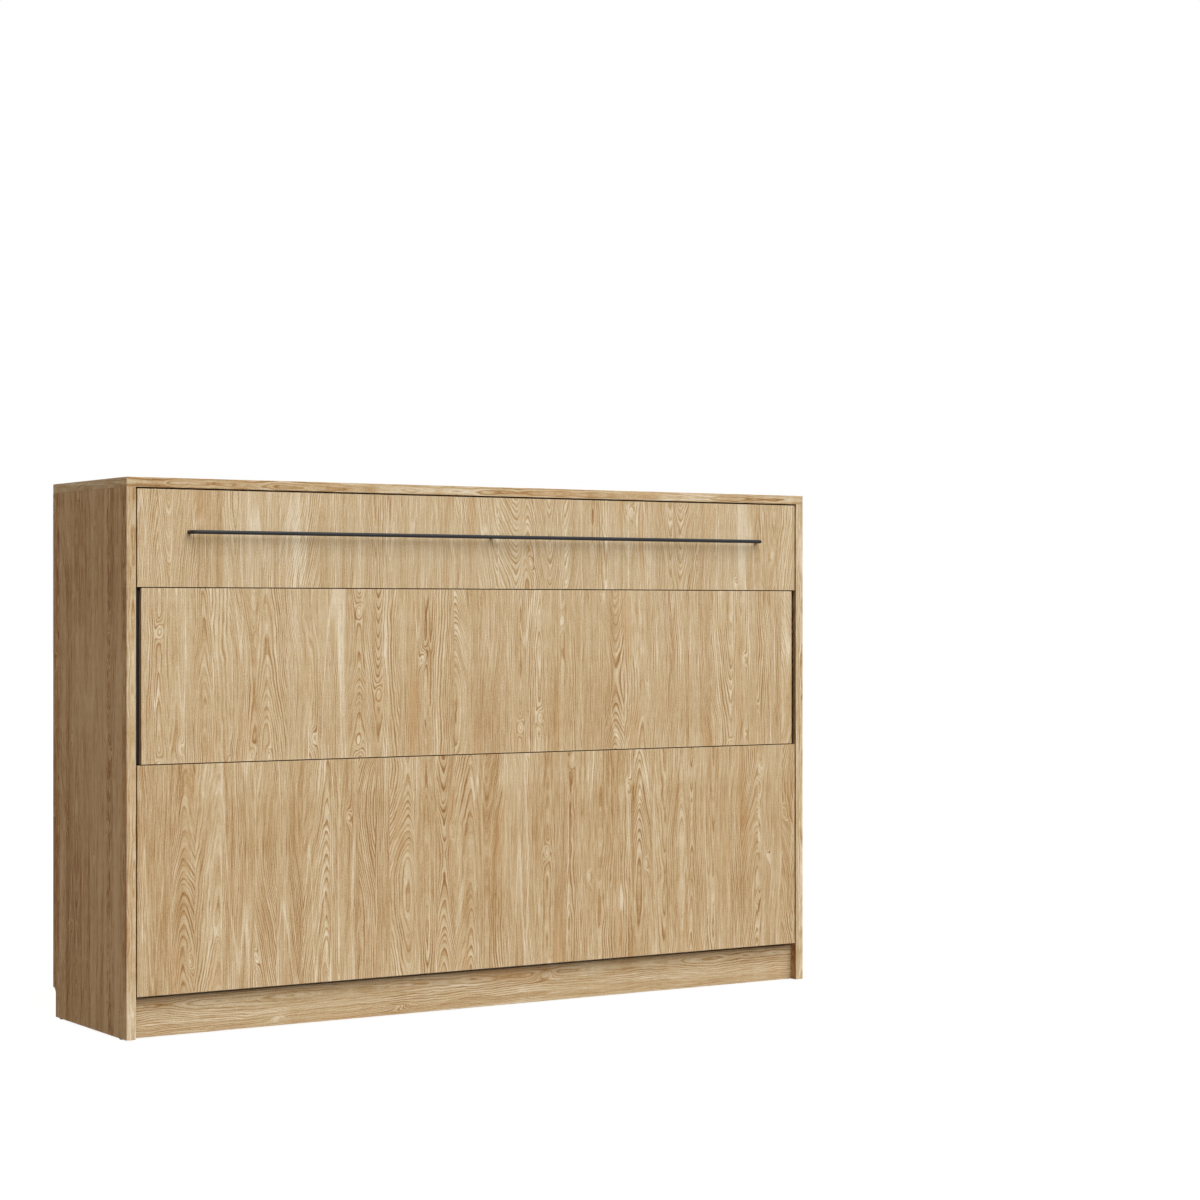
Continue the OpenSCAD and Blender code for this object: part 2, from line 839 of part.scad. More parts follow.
// Border of the cross section: [distance in from the border, depth from the flat face]
border = [
  [crown_reach, 0], [face_in, 0], [roll_in, roll_low], [roll_out, roll_high], [0, tape],
  [groove, tape + groove_run], [border_in, tape + border_run],
  [border_mid, mattress_edge_t / 2],
  [border_in, mattress_edge_t - tape - border_run], [groove, mattress_edge_t - tape - groove_run],
  [0, mattress_edge_t - tape], [roll_out, mattress_edge_t - roll_high],
  [roll_in, mattress_edge_t - roll_low]
];
face_insets = [face_in, 50, 100, 160, 230, crown_reach];
rings = concat(border, [for (i = face_insets) [i, mattress_edge_t + crown_at(i)]]);

// Share of the full half-width that the draw leaves at place u, from -1 to 1 along the side
function drawn(full, u) = 1 - mattress_draw / full * (1 - u * u);

// Rounded rectangle as points, with extra points along its sides
function corner_pts(hx, hz, r, k) =
  let (sx = (k == 0 || k == 3) ? 1 : -1, sz = k < 2 ? 1 : -1)
  [for (j = [0:corner_n]) let (a = 90 * k + 90 * j / corner_n)
    [sx * (hx - r) + r * cos(a), sz * (hz - r) + r * sin(a)]];
function side_pts(p, q) = [for (j = [1:edge_n - 1]) p + (q - p) * j / edge_n];
function rect_pts(hx, hz, r) = [
  for (k = [0:3])
    let (c = corner_pts(hx, hz, r, k), d = corner_pts(hx, hz, r, (k + 1) % 4))
    for (p = concat(c, side_pts(c[corner_n], d[0]))) p
];
ring_n = 4 * (corner_n + edge_n);

function ring_pts(inset, y) =
  [for (p = rect_pts(half_mattress - inset, half_w - inset, max(mattress_corner_r - inset, least_corner_r)))
    [p.x * drawn(half_mattress, p.y / half_w), y_mattress + y,
      z_mattress_mid + p.y * drawn(half_w, p.x / half_mattress)]];

module mattress() {
  n = len(rings);
  points = [for (g = rings) for (p = ring_pts(g[0], g[1])) p];
  walls = [
    for (i = [0:n - 2], j = [0:ring_n - 1])
      let (a = i * ring_n + j, b = i * ring_n + (j + 1) % ring_n)
      for (f = [[a, b + ring_n, b], [a, a + ring_n, b + ring_n]]) f
  ];
  front = [[for (j = [0:ring_n - 1]) j]];
  back = [[for (j = [ring_n - 1:-1:0]) (n - 1) * ring_n + j]];
  color(ticking) polyhedron(points, concat(front, walls, back));
}

// Straps round the mattress, from the bottom rail over the sleeping face to the top rail

strap_end = 6;
strap_corner = 8;
strap_draw = half_w * drawn(half_w, strap_x / half_mattress);

// Half of the strap's inner line from its rail to the middle, as [y, distance from the mattress's middle]
function strap_half(off) =
  let (
    edge = strap_draw + seat_gap + off,
    top = y_mattress + mattress_edge_t + seat_gap + off,
    tab = half_w + frame_rim - strap_end
  )
  concat(
    [[y_rail_rear + off, max(tab, edge + 1)], [y_rail_rear + off, edge]],
    [for (a = [0:15:90]) [top, edge] - strap_corner * [1 - sin(a), 1 - cos(a)]],
    [for (i = face_insets) [top + crown_at(i), half_w - i]]
  );
function flip_z(list) = [for (k = [len(list) - 1:-1:0]) [list[k].x, -list[k].y]];
function strap_line(off) = concat(strap_half(off), flip_z(strap_half(off)));
function reversed(list) = [for (k = [len(list) - 1:-1:0]) list[k]];

module strap_outline() {
  translate([0, z_mattress_mid]) polygon(concat(strap_line(0), reversed(strap_line(strap_t))));
}

module straps() {
  color(webbing) for (s = [-1, 1]) on_side(s)
    along_x(strap_x - strap_w / 2, strap_x + strap_w / 2) strap_outline();
}

// Three-bar slide round the strap at the middle of the sleeping face
module strap_buckles() {
  y_strap = y_mattress + mattress_t + seat_gap;
  slot_x = strap_w / 2 + pocket_gap;
  color(black_plastic) for (s = [-1, 1]) on_side(s) difference() {
    box([strap_x - buckle_w / 2, y_strap, z_mattress_mid - buckle_h / 2],
      [strap_x + buckle_w / 2, y_strap + buckle_t, z_mattress_mid + buckle_h / 2]);
    box([strap_x - slot_x, y_strap - cut, z_mattress_mid - buckle_h / 2 - cut],
      [strap_x + slot_x, y_strap + strap_t + pocket_gap, z_mattress_mid + buckle_h / 2 + cut]);
    for (z = [-1, 1])
      box([strap_x - slot_x, y_strap - cut, z_mattress_mid + z * buckle_h / 4 - buckle_bar / 2],
        [strap_x + slot_x, y_strap + buckle_t + cut, z_mattress_mid + z * buckle_h / 4 + buckle_bar / 2]);
  }
}

// Leg

arm_eye_wall = 7;
tube_end_in = 0.5;

module leg_arm(s) {
  color(black_steel) on_side(s) difference() {
    along_x(x_arm, x_arm_out) {
      translate([leg_y - arm_d / 2, z_foot + foot_t])
        square([arm_d, z_middle_top - arm_top_gap - z_foot - foot_t]);
      translate(link_high) circle(pin_r + arm_eye_wall);
    }
    bar_x(x_arm - cut, x_arm_out + cut, leg_pivot, torsion_dia / 2 + fit);
    bar_x(x_arm - cut, x_arm_out + cut, link_high, pin_r + fit);
  }
}

module leg_arm_left() leg_arm(-1);

module leg_arm_right() leg_arm(1);

module torsion_tube() {
  x_end = x_arm_out - tube_end_in;
  color(black_steel) difference() {
    union() {
      bar_x(-x_end, x_end, leg_pivot, torsion_dia / 2);
      for (s = [-1, 1])
        on_side(s) bar_x(x_bush + seat_gap, x_arm, leg_pivot, shoulder_r);
    }
    bar_x(-x_end - cut, x_end + cut, leg_pivot, torsion_dia / 2 - torsion_wall);
  }
}

module leg_feet() {
  color(black_plastic) for (s = [-1, 1]) on_side(s)
    box([x_arm, leg_y - arm_d / 2, z_foot], [x_arm_out, leg_y + arm_d / 2, z_foot + foot_t]);
}

module link_pin(s) {
  color(zinc) on_side(s) {
    bar_x(x_link - seat_gap - clip_t, x_arm_out, link_high, pin_r);
    bar_x(x_link - seat_gap - clip_t, x_link - seat_gap, link_high, clip_r);
    bar_x(x_link + link_t + seat_gap, x_arm, link_high, clip_r);
  }
}

module link_pin_left() link_pin(-1);

module link_pin_right() link_pin(1);

// Link from the cabinet's pin to the leg's pin
module link(s) {
  d = link_high - link_low;
  l = norm(d);
  color(black_steel) on_side(s) difference() {
    along_x(x_link, x_link + link_t) {
      translate(link_low) {
        circle(eye_r);
        rotate(atan2(d.y, d.x)) translate([0, -link_w / 2]) square([l, link_w]);
      }
      translate(link_high) circle(eye_r);
    }
    bar_x(x_link - cut, x_link + link_t + cut, link_low, pin_r + fit);
    bar_x(x_link - cut, x_link + link_t + cut, link_high, pin_r + loose_fit);
  }
}

module link_left() link(-1);

module link_right() link(1);

// Gas struts

strut_neck = 22;
strut_neck_r = 4.5;
strut_floor = 8;
strut_wall = 1.5;
guide_t = 8;
piston_t = 12;
strut_shoulder = 3;
strut_round = 2;
strut_tip = 1;
strut_body_end = strut_open_l - strut_nose;

// Puts the children in the strut's own frame: the upper pin at the origin, the lower pin along +Z
module strut_frame(s) {
  translate([s * x_strut, strut_high.x, strut_high.y])
    rotate([strut_a - 90, 0, 0])
      children();
}

// Eye across X at height z of the strut's frame
module strut_eye(z) {
  translate([-eye_t / 2, 0, z])
    rotate([0, 90, 0])
      cylinder(h = eye_t, r = eye_r);
}

// Bore of an eye
module strut_eye_bore(z) {
  translate([-eye_t / 2 - cut, 0, z])
    rotate([0, 90, 0])
      cylinder(h = eye_t + 2 * cut, r = pin_r + fit);
}

// Half section of the cylinder, with its neck and its hollow: radius, then distance from the upper pin
module strut_section() {
  bore_r = strut_dia / 2 - strut_wall;
  guide_r = strut_rod_dia / 2 + fit;
  neck_z = (pin_r + eye_r) / 2;
  floor_z = strut_neck + strut_floor;
  guide_z = strut_body_end - guide_t;
  polygon([
    [0, neck_z], [strut_neck_r, neck_z], [strut_neck_r, strut_neck - strut_shoulder],
    [strut_dia / 2 - strut_round, strut_neck], [strut_dia / 2, strut_neck + strut_round],
    [strut_dia / 2, strut_body_end - strut_tip], [strut_dia / 2 - strut_tip, strut_body_end],
    [guide_r, strut_body_end], [guide_r, guide_z], [bore_r, guide_z], [bore_r, floor_z], [0, floor_z]
  ]);
}

module strut_cylinder(s) {
  color(black_steel) strut_frame(s) difference() {
    union() {
      strut_eye(0);
      rotate_extrude() strut_section();
    }
    strut_eye_bore(0);
  }
}

module strut_cylinder_left() strut_cylinder(-1);

module strut_cylinder_right() strut_cylinder(1);

module strut_rod(s) {
  piston_r = strut_dia / 2 - strut_wall - fit;
  color(zinc) strut_frame(s) difference() {
    union() {
      strut_eye(strut_closed_l);
      translate([0, 0, strut_closed_l - strut_rod_l])
        cylinder(h = strut_rod_l, r = strut_rod_dia / 2);
      translate([0, 0, strut_closed_l - strut_rod_l])
        cylinder(h = piston_t, r = piston_r);
    }
    strut_eye_bore(strut_closed_l);
  }
}

module strut_rod_left() strut_rod(-1);

module strut_rod_right() strut_rod(1);

side_left();
side_right();
top_board();
plinth();
rear_rail_upper();
rear_rail_middle();
rear_plinth();
glides();
cam_locks();
pivot_plate_left();
pivot_plate_right();
pivot_pin_left();
pivot_pin_right();
strut_anchor_left();
strut_anchor_right();
plate_screws();
stop_brackets();
bumpers();
front_panel_top();
front_panel_middle();
front_panel_bottom();
handle();
handle_screws();
side_rail_left();
side_rail_right();
cross_rail_bottom();
cross_rail_pivot();
cross_rail_lower();
cross_rail_upper();
cross_rail_top();
slats();
slat_caps();
pivot_bush_left();
pivot_bush_right();
leg_bush_left();
leg_bush_right();
strut_pin_left();
strut_pin_right();
panel_screws();
mattress();
straps();
strap_buckles();
leg_arm_left();
leg_arm_right();
torsion_tube();
leg_feet();
link_pin_left();
link_pin_right();
link_left();
link_right();
strut_cylinder_left();
strut_cylinder_right();
strut_rod_left();
strut_rod_right();
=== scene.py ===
"""Finishes, bedding and studio for a horizontal fold-down wall bed.

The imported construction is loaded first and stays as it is. Each operator dresses one group of pieces:
boards in oak, black and zinc-plated steel, beech slats, and a quilted mattress with its straps.
All lengths are in metres.
"""

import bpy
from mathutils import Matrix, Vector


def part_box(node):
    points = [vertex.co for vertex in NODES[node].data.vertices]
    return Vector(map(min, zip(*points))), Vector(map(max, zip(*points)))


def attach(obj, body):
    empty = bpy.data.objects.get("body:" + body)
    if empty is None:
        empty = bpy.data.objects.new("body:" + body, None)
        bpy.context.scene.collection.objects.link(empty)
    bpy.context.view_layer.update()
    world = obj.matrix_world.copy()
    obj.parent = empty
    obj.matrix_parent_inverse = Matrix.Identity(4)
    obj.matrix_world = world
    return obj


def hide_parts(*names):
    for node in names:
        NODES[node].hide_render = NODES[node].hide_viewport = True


bl_info = {
    "name": "Wall bed finishes",
    "version": (1, 0, 0),
    "blender": (4, 5, 0),
    "location": "3D View > Sidebar > Wall Bed",
    "description": "Oak, steel, slats and bedding for a horizontal wall bed, with its studio",
    "category": "Object",
}

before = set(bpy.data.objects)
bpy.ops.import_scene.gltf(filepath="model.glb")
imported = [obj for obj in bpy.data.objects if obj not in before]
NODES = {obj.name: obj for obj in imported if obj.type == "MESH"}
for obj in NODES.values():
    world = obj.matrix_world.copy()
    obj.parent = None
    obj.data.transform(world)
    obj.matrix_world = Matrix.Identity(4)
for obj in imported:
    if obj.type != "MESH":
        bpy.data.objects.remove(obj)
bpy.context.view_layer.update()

import math
from typing import NamedTuple

import bmesh
import bpy
from bpy.props import FloatProperty, FloatVectorProperty, PointerProperty
from mathutils import Vector

X, Y, Z = (1, 0, 0), (0, 1, 0), (0, 0, 1)


# Kinds of setting


def tint(name, description, *colour):
    """A colour in the renderer's own scale, from 0 to 1."""
    return FloatVectorProperty(
        name=name, description=description, subtype="COLOR", default=colour, min=0, max=1)


def screen_colour(name, description, *colour):
    """A colour given as on a screen, from 0 to 255."""
    def linear(value):
        value /= 255
        return value / 12.92 if value <= 0.04045 else ((value + 0.055) / 1.055) ** 2.4
    return tint(name, description, *map(linear, colour))


def distance(name, description, default, least, most):
    return FloatProperty(
        name=name, description=description, subtype="DISTANCE", default=default, min=least, max=most)


def amount(name, description, default, least, most):
    return FloatProperty(name=name, description=description, default=default, min=least, max=most)


# Node helpers


class Nodes:
    """A node tree, with short ways to add and join nodes."""

    def __init__(self, tree):
        self.tree = tree

    def put(self, socket, value):
        """Links a socket or sets a plain value."""
        if isinstance(value, bpy.types.NodeSocket):
            self.tree.links.new(value, socket)
        else:
            socket.default_value = value

    def add(self, kind, *values, named=None, **settings):
        """New node, with its inputs' values in their order, or by name or number."""
        node = self.tree.nodes.new(kind)
        for name, value in settings.items():
            setattr(node, name, value)
        for place, value in (*enumerate(values), *(named or {}).items()):
            self.put(node.inputs[place], value)
        return node

    def math(self, operation, *values, clamp=False):
        return self.add("ShaderNodeMath", *values, operation=operation, use_clamp=clamp).outputs[0]

    def add_up(self, *values):
        total = values[0]
        for value in values[1:]:
            total = self.math("ADD", total, value)
        return total

    def times(self, a, b):
        return self.math("MULTIPLY", a, b)

    def minus(self, a, b):
        return self.math("SUBTRACT", a, b)

    def over(self, a, b):
        return self.math("DIVIDE", a, b)

    def size(self, value):
        """The value without its sign."""
        return self.math("ABSOLUTE", value)

    def mix(self, factor, a, b):
        """Mixes two numbers."""
        return self.add("ShaderNodeMix", factor, named={2: a, 3: b}, data_type="FLOAT").outputs[0]

    def mix_colour(self, factor, a, b, blend="MIX"):
        """Mixes two colours, each a socket or three numbers."""
        a, b = (c if isinstance(c, bpy.types.NodeSocket) else (*c, 1) for c in (a, b))
        return self.add(
            "ShaderNodeMix", factor, named={6: a, 7: b}, data_type="RGBA", blend_type=blend).outputs[2]

    def seen_by_camera(self):
        """One where a camera, gloss or glass ray looks, and nothing for the light on the object."""
        path = self.add("ShaderNodeLightPath").outputs
        seen = self.math("MAXIMUM", path["Is Camera Ray"], path["Is Glossy Ray"])
        return self.math("MAXIMUM", seen, path["Is Transmission Ray"])


class Shader(Nodes):
    """One material's nodes, with the patterns that its surface is made from."""

    def __init__(self, name):
        self.material = bpy.data.materials.new(name)
        self.material.use_nodes = True
        super().__init__(self.material.node_tree)
        self.surface = self.tree.nodes["Principled BSDF"].inputs
        self.place = self.add("ShaderNodeTexCoord").outputs
        self.point = self.place["Object"]

    def vector(self, operation, a, b):
        """Outputs of a vector operation."""
        return self.add("ShaderNodeVectorMath", a, b, operation=operation).outputs

    def dot(self, vector, axis):
        return self.vector("DOT_PRODUCT", vector, axis)["Value"]

    def axes(self):
        """The point's three coordinates."""
        return [self.dot(self.point, axis) for axis in (X, Y, Z)]

    def run_and_side(self):
        """The piece's own UV: the run along it and the place across it."""
        return self.add("ShaderNodeSeparateXYZ", self.place["UV"]).outputs[:2]

    def facing(self, axis, least=0.5):
        """One on faces that look along an axis, and nothing elsewhere."""
        return self.math("GREATER_THAN", self.size(self.dot(self.place["Normal"], axis)), least)

    def combine(self, x, y, z=0.0):
        return self.add("ShaderNodeCombineXYZ", x, y, z).outputs[0]

    def split(self, colour):
        return self.add("ShaderNodeSeparateColor", colour).outputs

    def noise(self, vector, scale=1.0, detail=2.0, roughness=0.5):
        return self.add("ShaderNodeTexNoise", named={
            "Vector": vector, "Scale": scale, "Detail": detail, "Roughness": roughness}).outputs["Fac"]

    def cells(self, dimensions, place, randomness=1.0):
        """Outputs of random cells with a size of one."""
        return self.add("ShaderNodeTexVoronoi", voronoi_dimensions=dimensions, named={
            "W" if dimensions == "1D" else "Vector": place, "Scale": 1, "Randomness": randomness}).outputs

    def centred(self, value, reach):
        """A value from 0 to 1 turned into one from -reach/2 to reach/2."""
        return self.times(self.minus(value, 0.5), reach)

    def smooth(self, value, low, high, out_low=0.0, out_high=1.0):
        return self.add(
            "ShaderNodeMapRange", value, low, high, out_low, out_high,
            interpolation_type="SMOOTHSTEP").outputs[0]

    def ramp(self, factor, stops):
        node = self.add("ShaderNodeValToRGB", factor)
        elements = node.color_ramp.elements
        while len(elements) < len(stops):
            elements.new(0.5)
        for element, (position, colour) in zip(elements, stops):
            element.position = position
            element.color = (*colour, 1)
        return node.outputs[0]

    def stripes(self, coordinate, pitch):
        """Position within a repeat, from 0 to 1."""
        return self.math("FRACT", self.over(coordinate, pitch))

    def wave(self, coordinate, pitch):
        """Sine wave of a given pitch, from -1 to 1."""
        return self.math("SINE", self.times(coordinate, 2 * math.pi / pitch))

    def bump(self, height, depth, strength):
        """Bump whose full height is depth."""
        node = self.add("ShaderNodeBump", named={"Strength": strength, "Distance": depth, "Height": height})
        self.put(self.surface["Normal"], node.outputs[0])

    def finish(self, colour, roughness, metallic=0.0, gloss=0.5):
        self.put(self.surface["Base Color"], colour)
        self.put(self.surface["Roughness"], roughness)
        self.surface["Metallic"].default_value = metallic
        self.surface["Specular IOR Level"].default_value = gloss
        return self.material


def shaded(colour, factor):
    """A colour made darker or lighter."""
    return [min(1, part * factor) for part in colour]


# Oak


class OakSettings(bpy.types.PropertyGroup):
    light: screen_colour("Light grain", "Colour of the palest lines of the grain", 233, 221, 198)
    pale: screen_colour("Pale grain", "Colour of the early wood", 213, 194, 160)
    middle: screen_colour("Middle grain", "Main colour of the board", 201, 178, 141)
    brown: screen_colour("Brown grain", "Colour of the late wood", 184, 152, 108)
    dark: screen_colour("Dark grain", "Colour of the darkest streaks", 153, 112, 70)
    rust: screen_colour("Rusty patches", "Colour of the warm patches between the streaks", 198, 155, 106)
    pore: screen_colour("Pores", "Colour of the fine open pores", 132, 94, 58)
    # Partly staining and partly painted shade: the sides' faces are multiplied darker and warmer than their
    # edge bands, as if they stood in shade.
    side_stain_and_shade: tint(
        "Side staining and painted shade", "How much deeper the sides' faces are than their edge bands", 0.75, 0.585, 0.415)
    # Painted shade: the front panels' edges face the gaps round the panels and are darkened as if shade fell
    # in those gaps.
    painted_edge_shade: tint(
        "Panel edge painted shade", "How much deeper the edges of the front panels are than their faces",
        0.62, 0.53, 0.45)
    stain_contrast: amount(
        "Side contrast", "How much stronger the grain of the sides' faces is", 1.6, 0, 4)
    contrast: amount("Contrast", "Strength of the whole grain", 0.95, 0, 2)
    lamella: distance(
        "Lamella width", "Mean width of one piece of the figure across the grain", 0.063, 0.03, 0.3)
    ring: distance(
        "Ring spacing", "Distance between two growth rings on a flat face", 0.0052, 0.002, 0.02)
    edge_round: distance("Edge rounding", "Radius of the boards' edges", 0.0008, 0.0002, 0.003)


class Board(NamedTuple):
    """Grain of a board and of its ends, how wild its figure and how light its tone is, whether its faces
    carry staining and painted shade, and whether its edges carry painted shade."""

    grain: tuple
    end_grain: tuple
    wild: float = 1.0
    shade: float = 0.0
    stained_and_shaded: bool = False
    painted_shade_edges: bool = False


BOARDS = {
    "side_left": Board(Z, Y, shade=0.08, stained_and_shaded=True),
    "side_right": Board(Z, Y, shade=0.08, stained_and_shaded=True),
    "top_board": Board(X, Y, wild=1.3, shade=-0.03),
    "plinth": Board(X, Y, wild=1.3, shade=-0.02),
    "rear_rail_upper": Board(X, Z),
    "rear_rail_middle": Board(X, Z),
    "rear_plinth": Board(X, Z),
    "front_panel_top": Board(Z, X, shade=0.01, painted_shade_edges=True),
    "front_panel_middle": Board(Z, X, painted_shade_edges=True),
    "front_panel_bottom": Board(Z, X, shade=-0.08, painted_shade_edges=True),
}

# Noises of the figure: waves per metre across and along the grain, shift, detail and roughness
OAK_NOISES = {
    "drift": (4.0, 0.8, 0.0, 2.0, 0.5),
    "waver": (15, 3.5, 3.0, 2.0, 0.5),
    "crook": (11, 5.0, 20.0, 3.0, 0.55),
    "uneven rings": (34, 0.7, 25.0, 2.0, 0.6),
    "ring strength": (14, 2.2, 31.0, 3.0, 0.6),
    "broad": (30, 1.6, 40.0, 2.0, 0.6),
    "bands": (38, 0.35, 48.0, 2.0, 0.6),
    "middle": (120, 5.0, 50.0, 2.0, 0.6),
    "fine": (330, 20.0, 60.0, 2.0, 0.7),
    "patches": (24, 1.9, 45.0, 2.0, 0.5),
    "pores": (1500, 34.0, 70.0, 1.0, 0.5),
    "gloss": (2.1, 1.7, 80.0, 3.0, 0.5),
    "thread": (13, 0.55, 90.0, 1.0, 0.5),
    "rust": (19, 2.6, 95.0, 2.0, 0.5),
}

# Weights of the tone's parts. A pair holds the one on plain boards and the one on the sides, whose faces
# carry staining and painted shade, and the last pair is the figure's strength on their edges.
LAMELLA, MIDDLE, PATCHES, SPECKLE, LATE_WOOD, THREAD, EYE_HEART = 0.12, 0.85, 0.34, 1.05, -0.56, 0.26, 0.32
BROAD, BANDS, FINE, ON_EDGES = (0.32, 0.75), (0.50, 1.15), (0.80, 1.60), (1.1, 0.8)
# How far the grain wanders slowly and quickly, how crooked a line is, and how many rings uneven growth shifts
DRIFT, WAVER, CROOK, RING_SHIFT = 0.024, 0.006, 0.021, 3.6
# How far to the side, how deep and how slanted the lamellas' hearts lie
HEART_SPREAD, HEART_DEPTH, LEAST_DEPTH, HEART_LEAN = 0.13, 0.012, 0.002, 0.85
# Arches of the rings: waves per metre along the grain, and height in the calmest and the wildest lamella
ARCH_WAVES, LOW_ARCH, HIGH_ARCH = 1.1, 0.07, 0.42
# Eyes: places per metre across and along, the share that stays empty, half an eye's width and length, its
# slant, and how far it pushes the rings
EYES_ACROSS, EYES_ALONG, NO_EYE = 7.0, 5.2, 0.62
EYE_WIDTH, EYE_LENGTH, EYE_SLANT, EYE_PUSH = 0.009, 0.024, 0.6, 0.018


class Grain(Shader):
    """Shader with coordinates along and across a board's grain, on a stretch of figure of its own."""

    def __init__(self, name, seed, board):
        super().__init__("oak_" + name)
        lo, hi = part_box(name)
        thin = min((X, Y, Z), key=lambda axis: (hi - lo).dot(Vector(axis)))
        cross = tuple(1 - g for g in board.grain)
        third = tuple(1 - g - e for g, e in zip(board.grain, board.end_grain))
        on_end = self.facing(board.grain)
        self.seed, self.on_face = seed, self.facing(thin)
        self.along, self.across = (
            self.add_up(self.mix(on_end, self.dot(self.point, side), self.dot(self.point, end)), seed * shift)
            for side, end, shift in ((board.grain, board.end_grain, 3.7), (cross, third, 1.3)))

    def field(self, name, across=None):
        """One of the figure's noises, laid across the board or across another coordinate."""
        wide, long, shift, detail, roughness = OAK_NOISES[name]
        across = self.times(self.across if across is None else across, wide)
        vector = self.combine(across, self.times(self.along, long), self.seed + shift)
        return self.noise(vector, 1.0, detail, roughness)


def oak_lamellas(s, wandering, width):
    """Lamellas of random width: three random values of each, and the distance from its heart."""
    cells = s.cells("1D", s.times(wandering, 1 / width))
    luck, depth_luck, tone_luck = s.split(cells["Color"])
    off_heart = s.minus(wandering, s.over(cells["W"], 1 / width))
    return luck, depth_luck, tone_luck, s.add_up(off_heart, s.centred(luck, HEART_SPREAD))


def oak_eyes(s, off_heart, luck):
    """Leaf-shaped swirls, one above the other on the hearts, that the rings flow round."""
    spot = s.combine(
        s.add_up(s.times(off_heart, EYES_ACROSS), 0.5),
        s.add_up(s.times(s.along, EYES_ALONG), s.times(luck, 31.0)))
    cells = s.cells("2D", spot, 0.7)
    gap = s.vector("SUBTRACT", spot, cells["Position"])[0]
    gap_along = s.times(s.dot(gap, Y), 1 / EYES_ALONG)
    gap_across = s.add_up(
        s.times(s.dot(gap, X), 1 / EYES_ACROSS), s.times(gap_along, s.centred(luck, EYE_SLANT)))
    near = s.add_up(
        s.math("POWER", s.size(s.times(gap_across, 1 / EYE_WIDTH)), 2.0),
        s.math("POWER", s.size(s.times(gap_along, 1 / EYE_LENGTH)), 2.0))
    chosen = s.math("GREATER_THAN", s.split(cells["Color"])[0], NO_EYE)
    return s.times(s.times(s.math("EXPONENT", s.times(near, -1.0)), chosen), s.on_face)


